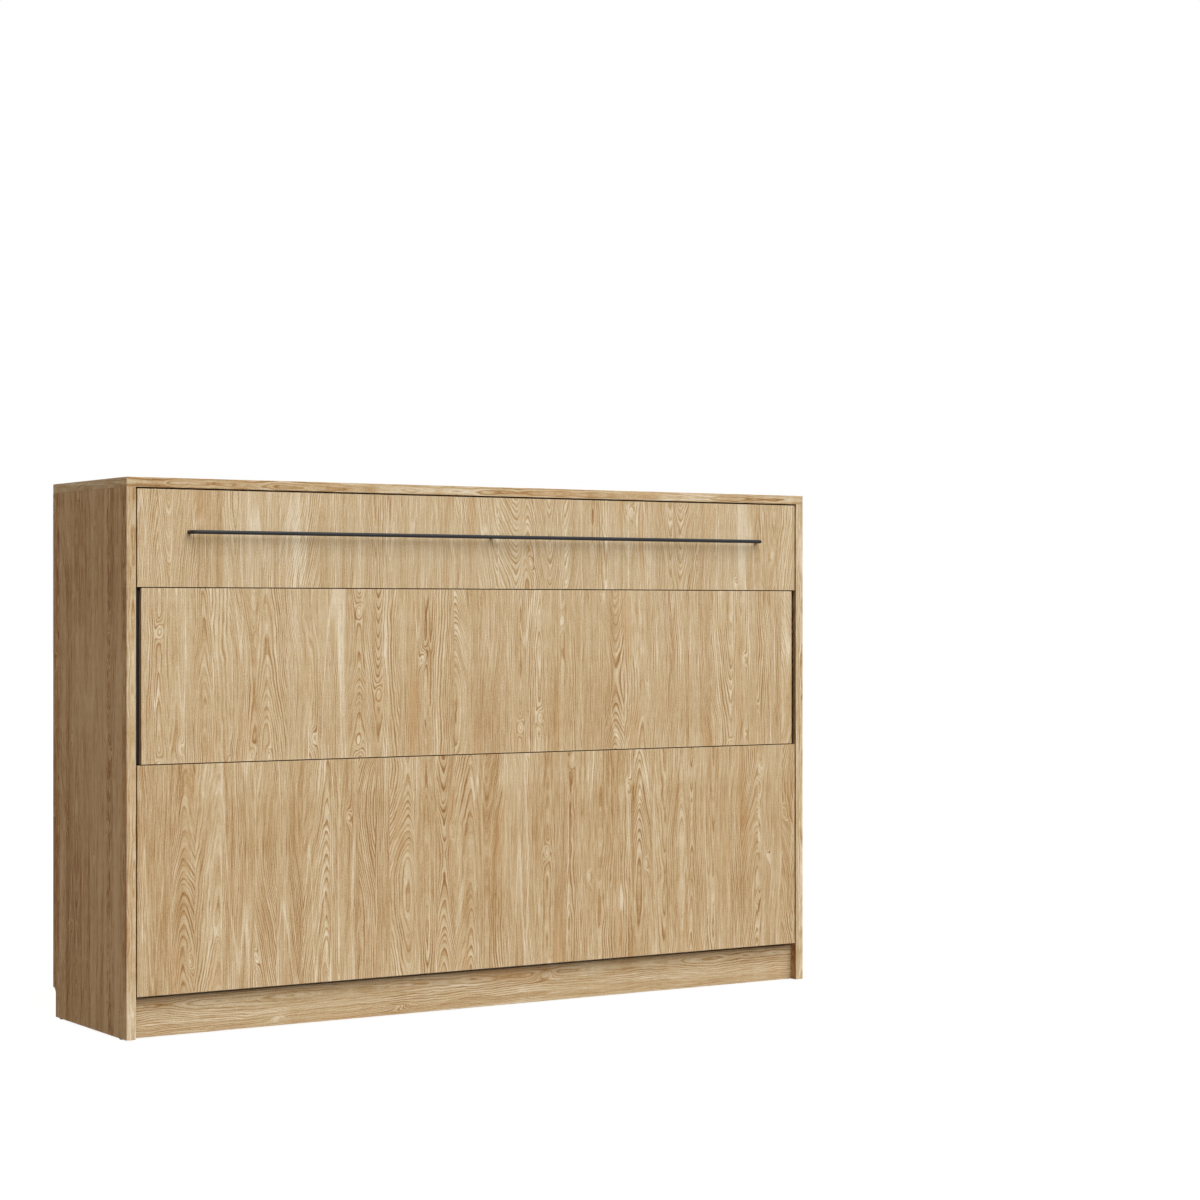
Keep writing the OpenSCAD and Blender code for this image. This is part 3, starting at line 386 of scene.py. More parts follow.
def oak(name, seed, board):
    """Oak laminate for one board: lamellas with arched growth rings, eyes, streaks and pores."""
    wood = bpy.context.scene.bed_oak
    s = Grain(name, seed, board)
    wander = s.add_up(s.centred(s.field("drift"), DRIFT), s.centred(s.field("waver"), WAVER))
    wandering = s.add_up(s.across, wander)
    luck, depth_luck, tone_luck, off_heart = oak_lamellas(s, wandering, wood.lamella)
    swell = oak_eyes(s, off_heart, luck)

    # The rings run round the hearts, drawn out to arches, and the late wood is the dark part of each
    arch = s.noise(s.combine(s.times(luck, 91.0), s.times(s.along, ARCH_WAVES), s.seed + 9.0), 1.0, 1.0, 0.4)
    reach = s.smooth(depth_luck, 0.2, 0.85, LOW_ARCH * board.wild, HIGH_ARCH * board.wild)
    depth = s.add_up(s.times(depth_luck, HEART_DEPTH), LEAST_DEPTH)
    radius = s.math("SQRT", s.add_up(s.times(off_heart, off_heart), s.times(depth, depth)))
    ringed = s.add_up(
        radius, s.times(off_heart, s.centred(tone_luck, HEART_LEAN)),
        s.times(s.centred(arch, reach), s.on_face),
        s.centred(s.field("crook"), CROOK * board.wild), s.times(swell, EYE_PUSH))
    uneven = s.centred(s.field("uneven rings", ringed), RING_SHIFT)
    turn = s.math("FRACT", s.add_up(s.over(ringed, wood.ring), uneven))
    late = s.times(s.smooth(turn, 0.35, 0.84), s.smooth(turn, 0.86, 1.0, 1.0, 0.0))
    ring_strength = s.smooth(s.field("ring strength"), 0.34, 0.62, 0.15, 1.0)

    # Each ring has its own tone, which slowly changes along it, and fine lines and grains run beside them
    fine = s.field("fine", ringed)
    speckle = s.noise(s.combine(
        s.add_up(s.times(s.across, 450), s.times(s.along, 160)),
        s.add_up(s.times(s.along, 190), s.times(s.across, -330))), 1.0, 2.0, 0.7)
    thread = s.size(s.centred(s.field("thread", wandering), 2.0))
    stained_and_shaded = board.stained_and_shaded
    detail = s.add_up(
        s.centred(tone_luck, LAMELLA),
        s.centred(s.field("broad", ringed), BROAD[stained_and_shaded]),
        s.centred(s.field("bands", wandering), BANDS[stained_and_shaded]),
        s.centred(s.field("middle", ringed), MIDDLE),
        s.centred(fine, FINE[stained_and_shaded]),
        s.centred(s.field("patches", wandering), PATCHES),
        s.centred(speckle, SPECKLE),
        s.times(s.times(s.minus(late, 0.33), ring_strength), LATE_WOOD),
        s.times(s.smooth(thread, 0.0, 0.022, 1.0, 0.0), THREAD),
        s.times(s.math("POWER", swell, 2.0), EYE_HEART))
    detail = s.times(detail, s.mix(s.on_face, ON_EDGES[stained_and_shaded], wood.stain_contrast if stained_and_shaded else 1.0))
    colour = s.ramp(s.add_up(s.times(detail, wood.contrast), 0.5 + board.shade), [
        (0.0, wood.dark), (0.28, wood.brown), (0.5, wood.middle), (0.70, wood.pale), (1.0, wood.light)])

    rust = s.smooth(s.field("rust", wandering), 0.56, 0.76, 0.0, 0.38)
    pores = s.smooth(s.field("pores"), 0.58, 0.72)
    colour = s.mix_colour(rust, colour, wood.rust)
    colour = s.mix_colour(s.times(pores, 0.35), colour, wood.pore)
    # Partly staining and partly painted shade: the sides' faces are multiplied darker and warmer, as if they
    # stood in shade.
    if stained_and_shaded:
        colour = s.mix_colour(s.on_face, colour, wood.side_stain_and_shade, "MULTIPLY")
    # Painted shade: the front panels' edges are multiplied darker, as if shade fell in the gaps round the
    # panels.
    if board.painted_shade_edges:
        edges = s.mix_colour(1.0, colour, wood.painted_edge_shade, "MULTIPLY")
        colour = s.mix_colour(s.on_face, edges, colour)
    s.bump(s.add_up(s.times(pores, -0.7), s.times(fine, 0.3), s.times(late, -0.12)), 0.00012, 0.7)
    roughness = s.add_up(0.54, s.times(pores, 0.12), s.centred(s.field("gloss"), 0.10))
    return s.finish(colour, roughness, gloss=0.08)


# Steel, plastic, rubber and bronze


class MetalSettings(bpy.types.PropertyGroup):
    black: screen_colour("Black steel", "Colour of the powder coat", 20, 23, 28)
    zinc: screen_colour("Zinc", "Colour of the plated screws and pins", 206, 208, 212)
    bronze: screen_colour("Bronze", "Colour of the bushes", 190, 148, 88)
    plastic: screen_colour("Black plastic", "Colour of the moulded parts", 34, 34, 36)
    rail_round: distance("Rail edge rounding", "Radius of the rails' edges", 0.0010, 0.0001, 0.003)
    link_round: distance("Link edge rounding", "Radius of the links' edges", 0.0006, 0.0001, 0.003)


def powder_coat(name, colour):
    """Black powder coat: fine orange peel, slightly uneven gloss and random patches rubbed a little paler."""
    s = Shader(name)
    peel = s.noise(s.point, 1400)
    cloud = s.noise(s.point, 9, 3.0)
    rub = s.smooth(s.noise(s.point, 60, 4.0, 0.7), 0.62, 0.80)
    s.bump(peel, 0.00005, 0.6)
    return s.finish(
        s.mix_colour(s.times(rub, 0.35), colour, shaded(colour, 1.7)),
        s.add_up(0.42, s.centred(cloud, 0.14)), gloss=0.3)


def plated(name, colour, roughness=0.34, scale=120):
    """Bright metal with faint cloudy patches and a fine grainy bump."""
    s = Shader(name)
    cloud = s.noise(s.point, scale, 3.0, 0.6)
    s.bump(s.noise(s.point, scale * 14), 0.00002, 0.5)
    return s.finish(
        s.mix_colour(s.smooth(cloud, 0.3, 0.75), shaded(colour, 0.72), colour),
        s.add_up(roughness, s.centred(cloud, 0.16)), metallic=1.0)


def moulded(name, colour, roughness):
    """Moulded plastic or rubber with a fine eroded texture."""
    s = Shader(name)
    cloud = s.noise(s.point, 22, 3.0)
    s.bump(s.noise(s.point, 2600, 2.0, 0.6), 0.00004, 0.7)
    return s.finish(
        s.mix_colour(cloud, shaded(colour, 0.8), shaded(colour, 1.25)),
        s.add_up(roughness, s.centred(cloud, 0.08)), gloss=0.3)


# Beech


class BeechSettings(bpy.types.PropertyGroup):
    light: screen_colour("Beech", "Main colour of the slats", 222, 190, 146)
    dark: screen_colour("Beech streaks", "Colour of the slats' darker streaks", 190, 148, 100)
    ply: distance("Veneer", "Thickness of one veneer of the bent slats", 0.0016, 0.0005, 0.004)
    edge_round: distance("Slat edge rounding", "Radius of the slats' edges", 0.0015, 0.0005, 0.003)


# Width of the stretch that gets one slat's tone
SLAT_PITCH = 0.098


def beech(name):
    """Bent laminated beech: straight streaks, short dark rays, and veneers on the edges."""
    settings = bpy.context.scene.bed_beech
    s = Shader(name)
    across, deep, along = s.axes()
    slat = s.math("FLOOR", s.over(across, SLAT_PITCH))
    shifted = s.add_up(along, s.times(slat, 7.3))

    def streaks(wide, long, detail, roughness):
        """Noise of a given number of waves per metre across and along the slats."""
        vector = s.combine(s.times(across, wide), s.times(shifted, long), slat)
        return s.noise(vector, 1.0, detail, roughness)

    luck = s.noise(s.combine(slat, 0.5, 0.5), 3.1, 0.0)
    broad = streaks(60, 0.8, 3.0, 0.6)
    fine = streaks(500, 6, 2.0, 0.6)
    rays = s.smooth(streaks(1900, 260, 0.0, 0.5), 0.70, 0.78)
    tone = s.add_up(0.55, s.centred(luck, 0.9), s.centred(broad, 0.7), s.centred(fine, 0.4))
    colour = s.ramp(tone, [(0.0, settings.dark), (0.8, settings.light)])
    colour = s.mix_colour(s.times(rays, 0.5), colour, shaded(settings.dark, 0.6))
    glue = s.times(s.facing(X, 0.6), s.math("COMPARE", s.stripes(deep, settings.ply), 0.5, 0.09))
    colour = s.mix_colour(s.times(glue, 0.6), colour, shaded(settings.dark, 0.35))
    s.bump(s.add_up(fine, s.times(rays, -0.5)), 0.00006, 0.6)
    return s.finish(colour, s.add_up(0.46, s.centred(broad, 0.12)))


# Bedding


class BeddingSettings(bpy.types.PropertyGroup):
    ticking: screen_colour("Ticking", "Colour of the mattress cover", 216, 213, 206)
    border: screen_colour(
        "Border", "Colour of the knitted border round the mattress", 196, 197, 198)
    tape: screen_colour("Edge tape", "Colour of the tape that binds the mattress's edges", 150, 153, 158)
    webbing: screen_colour("Webbing", "Colour of the straps", 52, 54, 58)
    crown: distance("Crown", "Height of the sleeping face's middle over its edge", 0.008, 0, 0.03)
    crown_reach: distance(
        "Crown reach", "Distance from the edge over which the crown rises", 0.300, 0.05, 0.5)
    corner: distance("Corner radius", "Radius of the mattress's corners", 0.060, 0.01, 0.2)
    draw: distance("Drawn sides", "How far the sides are drawn in at their middle", 0.004, 0, 0.02)
    quilt: distance("Quilt pitch", "Distance between two rows of quilting", 0.125, 0.05, 0.3)
    puff: distance("Quilt height", "Height of the quilting's puffs", 0.0075, 0, 0.02)
    sewn_depth: distance(
        "Sewn depth", "How far the quilting thread is drawn in under the crown", 0.004, 0, 0.01)
    spare_cloth: amount(
        "Spare cloth", "Share by which the cover is larger than the foam under it", 0.02, 0, 0.1)
    most_swell: distance(
        "Most swell", "The most that a point may move while the cover swells", 0.006, 0, 0.02)
    cell: distance("Mesh cell", "Size of the mattress mesh's faces", 0.010, 0.005, 0.05)
    strap_at: distance("Strap place", "Distance of the straps from the middle", 0.490, 0, 0.9)
    strap_width: distance("Strap width", "Width of the webbing", 0.032, 0.01, 0.06)
    strap_thick: distance("Strap thickness", "Thickness of the webbing", 0.0016, 0.0005, 0.004)


# Roll round each face's rim, and the border's belly, draw and groove, with the groove's place and width
ROLL, BELLY, BORDER_DRAW = 0.012, 0.0035, 0.001
GROOVE, GROOVE_AT, GROOVE_WIDTH = 0.0026, 0.014, 0.005
# How far in from the border, and from a strap, the quilting reaches its full height
QUILT_EDGE, STRAP_EDGE = 0.05, 0.05
# Radius of the edge tapes, how deep they sit in the outline and how far from the faces' rims
TAPE_RADIUS, TAPE_INSET, TAPE_DROP = 0.0045, 0.005, 0.007
# Gap under a strap, and its bends at the rails and over the mattress's edges
STRAP_GAP, STRAP_BEND, STRAP_CORNER = 0.0003, 0.012, 0.008
# Pitches of the cloths' loops, ribs, stitches, chevrons and yarns, and widths of the thread and of a fold
KNIT_ROW, KNIT_COLUMN, BORDER_RIB, TAPE_RIB = 0.0022, 0.0018, 0.006, 0.0016
TAPE_STITCH, QUILT_STITCH, QUILT_THREAD = 0.005, 0.0042, 0.0009
CHEVRON, CHEVRON_FOLD, YARN = 0.0021, 0.004, 0.0016
# Cloth simulation of the sleeping face
CLOTH_STEPS = 16
CLOTH = {
    "quality": 4, "mass": 0.3, "tension_stiffness": 15, "compression_stiffness": 15, "shear_stiffness": 5,
    "bending_stiffness": 0.5, "use_pressure": True, "uniform_pressure_force": 4,
}


def crown_at(inset, settings):
    """Height of the crown at a distance in from the border."""
    share = min(max(inset, 0.0) / settings.crown_reach, 1.0)
    return settings.crown * (1 - (1 - share) ** 2.2)


def link_new(name, data):
    """New object in the scene."""
    piece = bpy.data.objects.new(name, data)
    bpy.context.scene.collection.objects.link(piece)
    return piece


def round_edges(piece, width, degrees):
    """Bevel on the edges that turn by more than an angle."""
    edge = piece.modifiers.new("rounded edges", "BEVEL")
    edge.width = width
    edge.segments = 2
    edge.limit_method = "ANGLE"
    edge.angle_limit = math.radians(degrees)


def deselect_all():
    bpy.ops.object.select_all(action="DESELECT")


def apply_modifiers(piece):
    """Applies a piece's modifiers in their order."""
    deselect_all()
    bpy.context.view_layer.objects.active = piece
    for modifier in list(piece.modifiers):
        bpy.ops.object.modifier_apply(modifier=modifier.name)


def knit(name, colour, strength):
    """Knitted ticking: small loops in rows, with a soft uneven tone."""
    s = Shader(name)
    across, deep, along = s.axes()
    row = s.wave(s.add_up(along, deep), KNIT_ROW)
    column = s.wave(s.add_up(across, deep), KNIT_COLUMN)
    loops = s.times(row, column)
    cloud = s.noise(s.point, 14, 4.0, 0.6)
    slub = s.noise(s.combine(s.times(across, 40), s.times(deep, 300), s.times(along, 300)))
    tone = s.add_up(0.7, s.times(loops, 0.18), s.centred(cloud, 0.35), s.centred(slub, 0.25))
    shade = s.mix_colour(s.math("ADD", tone, 0.0, clamp=True), shaded(colour, 0.84), colour)
    s.bump(s.add_up(s.times(loops, 0.5), slub), 0.0004, strength)
    s.surface["Sheen Weight"].default_value = 0.15
    s.surface["Sheen Roughness"].default_value = 0.5
    return s, shade, cloud


def quilted_ticking(settings):
    """Ticking with the thread of the quilting drawn along its diagonals."""
    s, shade, cloud = knit("ticking", settings.ticking, 0.35)
    across, _, along = s.axes()
    thread = 0.0
    for sign in (1, -1):
        line = s.over(s.add_up(across, s.times(along, sign)), math.sqrt(2))
        run = s.over(s.add_up(along, s.times(across, -sign)), math.sqrt(2))
        near = s.math("COMPARE", s.stripes(line, settings.quilt), 0.5, QUILT_THREAD / settings.quilt)
        dash = s.math("LESS_THAN", s.stripes(run, QUILT_STITCH), 0.72)
        thread = s.math("MAXIMUM", thread, s.times(near, dash))
    shade = s.mix_colour(s.times(thread, 0.8), shade, shaded(settings.ticking, 0.55))
    return s.finish(shade, s.add_up(0.88, s.centred(cloud, 0.1)))


def border_cloth(settings):
    """Ribbed border cloth."""
    s, shade, cloud = knit("border_cloth", settings.border, 0.5)
    across, _, along = s.axes()
    rib = s.wave(s.add_up(across, along), BORDER_RIB)
    shade = s.mix_colour(s.smooth(rib, -1, 1, 0.0, 0.25), shade, shaded(settings.border, 0.6))
    s.bump(rib, 0.0006, 0.6)
    return s.finish(shade, s.add_up(0.9, s.centred(cloud, 0.08)))


def tape_cloth(settings):
    """Woven edge tape: slanting ribs and a stitched line along its middle, by the tape's own UV."""
    s = Shader("edge_tape")
    run, side = s.run_and_side()
    rib = s.wave(s.add_up(run, s.times(side, 0.004)), TAPE_RIB)
    cloud = s.noise(s.point, 30, 3.0)
    stitch = s.times(
        s.math("COMPARE", side, 0.5, 0.045),
        s.math("LESS_THAN", s.stripes(run, TAPE_STITCH), 0.7))
    shade = s.mix_colour(s.smooth(rib, -1, 1), shaded(settings.tape, 0.7), settings.tape)
    shade = s.mix_colour(s.times(stitch, 0.7), shade, settings.ticking)
    s.bump(s.add_up(rib, s.times(stitch, 2.0)), 0.0003, 0.6)
    return s.finish(shade, s.add_up(0.8, s.centred(cloud, 0.12)))


def webbing_cloth(settings):
    """Woven webbing: chevron ribs and yarns, by the strap's own UV."""
    s = Shader("webbing")
    run, side = s.run_and_side()
    chevron = s.wave(s.add_up(run, s.math("PINGPONG", side, CHEVRON_FOLD)), CHEVRON)
    weave = s.add_up(s.times(chevron, 0.6), s.times(s.wave(side, YARN), 0.4))
    cloud = s.noise(s.point, 40, 3.0, 0.6)
    shade = s.mix_colour(
        s.smooth(weave, -1, 1), shaded(settings.webbing, 0.55), shaded(settings.webbing, 1.5))
    shade = s.mix_colour(s.centred(cloud, 0.3), shade, (0.0, 0.0, 0.0))
    s.bump(weave, 0.00035, 0.8)
    s.surface["Sheen Weight"].default_value = 0.1
    return s.finish(shade, 0.75)


def mattress_outline(x, z, half, corner, draw):
    """Moves a point of a plain rectangle to the mattress's outline, with round corners and drawn sides."""
    half_x, half_z = half
    dx = abs(x) - (half_x - corner)
    dz = abs(z) - (half_z - corner)
    if dx > 0 and dz > 0:
        reach = max(dx, dz) / math.hypot(dx, dz)
        x = math.copysign(half_x - corner + dx * reach, x)
        z = math.copysign(half_z - corner + dz * reach, z)
    shrink_x = 1 - draw / half_x * (1 - (z / half_z) ** 2)
    shrink_z = 1 - draw / half_z * (1 - (x / half_x) ** 2)
    return x * shrink_x, z * shrink_z


def outward(x, z, half, corner):
    """Direction in which the border faces at a point of the outline."""
    near = 0.02
    if abs(abs(x) - half[0]) < near and abs(z) < half[1] - corner:
        return Vector((math.copysign(1, x), 0))
    if abs(abs(z) - half[1]) < near and abs(x) < half[0] - corner:
        return Vector((0, math.copysign(1, z)))
    return Vector((x / half[0] ** 2, z / half[1] ** 2)).normalized()


def quilt_height(x, z, settings):
    """Share of the puffs' height at a point: nothing at the thread, full in the middle of a diamond."""
    height = 1.0
    for line in ((x + z) / math.sqrt(2), (x - z) / math.sqrt(2)):
        height *= abs(math.cos(math.pi * line / settings.quilt)) ** 0.55
    return height


def strap_press(x, settings):
    """Share of the quilting that the straps leave, by distance from the nearer strap."""
    off = abs(abs(x) - settings.strap_at) - settings.strap_width / 2
    share = min(max(off / STRAP_EDGE, 0.0), 1.0)
    return share * share * (3 - 2 * share)


def border_bulge(x, z, level, tall, half, settings):
    """How far a point of the border stands out: a belly half way up and a groove beside each tape."""
    height = level * tall
    groove = math.exp(-((min(height, tall - height) - GROOVE_AT) / GROOVE_WIDTH) ** 2)
    bulge = BELLY * math.sin(math.pi * level) - GROOVE * groove - BORDER_DRAW
    if abs(z) > half[1] - settings.corner:
        bulge = min(bulge, bulge * strap_press(x, settings))
    return bulge


def shape_mattress(mesh, size, settings):
    """Shapes a box of small faces. Returns the points of its sleeping face, and those that aren't sewn."""
    half = (size.x / 2, size.z / 2)
    tall = size.y - settings.crown
    puff = settings.puff * 0.5
    face, free = set(), set()
    for vert in mesh.verts:
        x, y, z = vert.co.x, vert.co.y + size.y / 2, vert.co.z
        inset = min(half[0] - abs(x), half[1] - abs(z))
        level = y / size.y
        # Near a face's rim the section runs round a quarter circle
        rim = min(max(1 - inset / ROLL, 0.0), 1.0)
        rounding = ROLL * (1 - math.sqrt(max(1 - rim * rim, 0.0)))
        height, bulge = level * tall, 0.0
        if level > 0.999:
            face.add(vert.index)
            edge = min(max(inset / QUILT_EDGE, 0.0), 1.0) * strap_press(x, settings)
            quilting = quilt_height(x, z, settings)
            lift = puff * quilting - settings.sewn_depth
            height = tall - rounding + crown_at(inset, settings) + lift * edge
            if edge > 0.5 and quilting > 0.35:
                free.add(vert.index)
        elif level < 0.001:
            height = rounding
        else:
            bulge = border_bulge(x, z, level, tall, half, settings)
        x, z = mattress_outline(x, z, half, settings.corner, settings.draw)
        out = outward(x, z, half, settings.corner) if inset < 1e-6 else Vector((0, 0))
        vert.co = (x + out.x * bulge, height - size.y / 2, z + out.y * bulge)
    return face, free


def inflate(piece, face, free, settings):
    """Cloth simulation of the quilted face: it is sewn down along its threads and swells between them."""
    sheet = piece.copy()
    sheet.data = piece.data.copy()
    bpy.context.scene.collection.objects.link(sheet)
    mesh = bmesh.new()
    mesh.from_mesh(sheet.data)
    bmesh.ops.delete(mesh, geom=[vert for vert in mesh.verts if vert.index not in face], context="VERTS")
    mesh.to_mesh(sheet.data)
    mesh.free()
    kept = sorted(face)
    sewn = sheet.vertex_groups.new(name="sewn")
    sewn.add([place for place, index in enumerate(kept) if index not in free], 1.0, "REPLACE")
    cloth = sheet.modifiers.new("cloth", "CLOTH")
    for name, value in CLOTH.items():
        setattr(cloth.settings, name, value)
    cloth.settings.shrink_min = -settings.spare_cloth
    cloth.settings.vertex_group_mass = sewn.name
    cloth.settings.effector_weights.gravity = 0
    cloth.collision_settings.use_collision = False
    for step in range(1, CLOTH_STEPS + 1):
        bpy.context.scene.frame_set(step)
    apply_modifiers(sheet)
    bpy.context.scene.frame_set(1)
    for index, swollen in zip(kept, sheet.data.vertices):
        vert = piece.data.vertices[index]
        moved = swollen.co - vert.co
        if moved.length > settings.most_swell:
            moved = moved.normalized() * settings.most_swell
        vert.co += moved
    bpy.data.objects.remove(sheet)


def make_mattress(settings):
    """Quilted mattress: a box of small faces, shaped to its outline and puffed along its diagonals."""
    lo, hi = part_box("mattress")
    size = hi - lo
    deselect_all()
    bpy.ops.mesh.primitive_cube_add(size=1, location=(lo + hi) / 2)
    piece = bpy.context.object
    piece.name = "quilted_mattress"
    piece.dimensions = size
    bpy.ops.object.transform_apply(location=False, rotation=False, scale=True)
    bpy.ops.object.mode_set(mode="EDIT")
    mesh = bmesh.from_edit_mesh(piece.data)
    for axis in range(3):
        edges = [edge for edge in mesh.edges
                 if abs((edge.verts[0].co - edge.verts[1].co)[axis]) > settings.cell * 1.5]
        cuts = max(1, round(size[axis] / settings.cell)) - 1
        bmesh.ops.subdivide_edges(mesh, edges=edges, cuts=cuts, use_grid_fill=True)
    face, free = shape_mattress(mesh, size, settings)
    bmesh.update_edit_mesh(piece.data)
    bpy.ops.mesh.select_all(action="SELECT")
    bpy.ops.mesh.normals_make_consistent(inside=False)
    bpy.ops.object.mode_set(mode="OBJECT")
    bpy.ops.object.transform_apply(location=True, rotation=False, scale=False)
    inflate(piece, face, free, settings)
    bpy.ops.object.shade_smooth()
    piece.data.materials.append(quilted_ticking(settings))
    piece.data.materials.append(border_cloth(settings))
    for polygon in piece.data.polygons:
        if abs(polygon.normal.y) < 0.6:
            polygon.material_index = 1
    return piece


def woven_piece(name, rows, runs, sides, closed=False):
    """Piece with faces between rows of points. Its UV holds the run and the place across."""
    mesh = bmesh.new()
    uv = mesh.loops.layers.uv.new("along")
    rows = [[mesh.verts.new(point) for point in row] for row in rows]
    for k in range(len(runs) - 1):
        here, ahead = rows[k], rows[(k + 1) % len(rows)]
        for c in range(len(sides) - 1):
            over = (c + 1) % len(here)
            face = mesh.faces.new((here[c], here[over], ahead[over], ahead[c]))
            face.smooth = True
            marks = ((k, c), (k, c + 1), (k + 1, c + 1), (k + 1, c))
            for loop, (row, column) in zip(face.loops, marks):
                loop[uv].uv = (runs[row], sides[column])
    if closed:
        bmesh.ops.recalc_face_normals(mesh, faces=mesh.faces)
    data = bpy.data.meshes.new(name)
    mesh.to_mesh(data)
    mesh.free()
    return link_new(name, data)


def mattress_rim(settings, lo, hi, y):
    """Points round the mattress's outline, where the tapes are sewn in."""
    half = ((hi.x - lo.x) / 2, (hi.z - lo.z) / 2)

    def on_corner(quarter, degrees):
        """Point of one of the round corners, by its angle."""
        a = math.radians(degrees)
        right = 1 if quarter % 4 in (0, 3) else -1
        up = 1 if quarter % 4 < 2 else -1
        return (right * (half[0] - settings.corner) + settings.corner * math.cos(a),
                up * (half[1] - settings.corner) + settings.corner * math.sin(a))

    points = []
    for quarter in range(4):
        points += [on_corner(quarter, 90 * quarter + 90 * step / 12) for step in range(13)]
        here, goal = points[-1], on_corner(quarter + 1, 90 * (quarter + 1))
        count = max(2, round(math.dist(here, goal) / 0.06))
        points += [tuple(h + (g - h) * step / count for h, g in zip(here, goal)) for step in range(1, count)]
    middle_z = (lo.z + hi.z) / 2
    line = []
    for x, z in points:
        x, z = mattress_outline(x, z, half, 0.0, settings.draw)
        reach = math.hypot(x, z)
        line.append(Vector((x - TAPE_INSET * x / reach, y, middle_z + z - TAPE_INSET * z / reach)))
    return line


def make_edge_tapes(settings):
    """The bound edges of the mattress: one tape round each face."""
    lo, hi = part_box("mattress")
    cloth = tape_cloth(settings)
    corners = 10
    turns = [2 * math.pi * corner / corners for corner in range(corners)]
    top, bottom = hi.y - settings.crown - TAPE_DROP, lo.y + TAPE_DROP
    tapes = []
    for name, y in (("edge_tape_top", top), ("edge_tape_bottom", bottom)):
        line = mattress_rim(settings, lo, hi, y)
        rings, runs = [], [0.0]
        for k, point in enumerate(line):
            after = line[(k + 1) % len(line)]
            ahead = after - line[k - 1]
            out = Vector((ahead.z, 0, -ahead.x)).normalized()
            rings.append([
                point + TAPE_RADIUS * (math.cos(turn) * out + math.sin(turn) * Vector(Y))
                for turn in turns])
            runs.append(runs[-1] + (after - point).length)
        sides = [corner / corners for corner in range(corners + 1)]
        piece = woven_piece(name, rings, runs, sides, closed=True)
        piece.data.materials.append(cloth)
        tapes.append(piece)
    return tapes


def strap_line(settings):
    """Middle line of a strap in Y and Z, from the lower rail over the mattress to the upper rail."""
    lo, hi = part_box("mattress")
    low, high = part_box("straps")
    middle, half = (lo.z + hi.z) / 2, (hi.z - lo.z) / 2
    face = hi.y - settings.crown
    side = half * (1 - settings.draw / half * (1 - (settings.strap_at / ((hi.x - lo.x) / 2)) ** 2))
    lift = STRAP_GAP + settings.strap_thick / 2
    start = low.y + settings.strap_thick / 2
    angles = [math.radians(15 * step) for step in range(7)]

    # Up the rail, round on to the border, over the edge and up to the crown's middle
    upper = [(start, high.z - middle), (start, side + lift + STRAP_BEND)]
    upper += [(start + STRAP_BEND * (1 - math.cos(a)), side + lift + STRAP_BEND * (1 - math.sin(a)))
              for a in angles[1:]]
    flat = upper[-1][0]
    upper += [(flat + (face - STRAP_CORNER - flat) * step / 9, side + lift) for step in range(1, 9)]
    upper += [(face + lift - STRAP_CORNER + STRAP_CORNER * math.sin(a),
               side + lift - STRAP_CORNER + STRAP_CORNER * math.cos(a))
              for a in angles]
    for step in range(1, 31):
        inset = ROLL + (half - ROLL) * step / 30
        upper.append((face + lift + crown_at(inset, settings), half - inset))
    lower = [(y, -z) for y, z in upper[-2::-1]]
    return [(y, middle + z) for y, z in upper + lower]


def make_strap(name, side, settings):
    """One strap: a ribbon along its line, thickened and with rounded edges. Returns it and its length."""
    line = strap_line(settings)
    columns = 4
    runs = [0.0]
    for here, ahead in zip(line, line[1:]):
        runs.append(runs[-1] + math.dist(here, ahead))
    rows = [
        [(side * settings.strap_at + settings.strap_width * (c / columns - 0.5), y, z)
         for c in range(columns + 1)]
        for y, z in line]
    sides = [c / columns * settings.strap_width for c in range(columns + 1)]
    piece = woven_piece(name, rows, runs, sides)
    solid = piece.modifiers.new("thickness", "SOLIDIFY")
    solid.thickness = settings.strap_thick
    solid.offset = 0
    round_edges(piece, 0.0004, 50)
    apply_modifiers(piece)
    piece.data.materials.append(webbing_cloth(settings))
    return piece, runs[-1]


# Operators


def both(*names):
    """Names of pieces that stand on the left and on the right."""
    return [f"{name}_{side}" for name in names for side in ("left", "right")]


def paint(names, material):
    """Gives CAD nodes a material in their own slots."""
    for name in names:
        slots = NODES[name].material_slots
        if not slots:
            raise RuntimeError(f"{name} has no material slot")
        for slot in slots:
            slot.material = material


def soften(names, width):
    """Rounds the edges of CAD nodes with modifiers, and leaves their meshes as they are."""
    for name in names:
        node = NODES[name]
        weld = node.modifiers.new("weld", "WELD")
        weld.merge_threshold = 1e-5
        plane = node.modifiers.new("flat faces", "DECIMATE")
        plane.decimate_type = "DISSOLVE"
        plane.angle_limit = math.radians(0.5)
        round_edges(node, width, 40)
        even = node.modifiers.new("even shading", "WEIGHTED_NORMAL")
        even.keep_sharp = False


class BED_OT_boards(bpy.types.Operator):
    """Gives each board its own oak, with the grain along it and rounded edges"""

    bl_idname = "wallbed.boards"
    bl_label = "Boards"

    def execute(self, context):
        for seed, (name, board) in enumerate(BOARDS.items(), 1):
            paint([name], oak(name, float(seed), board))
        soften(BOARDS, context.scene.bed_oak.edge_round)
        return {"FINISHED"}


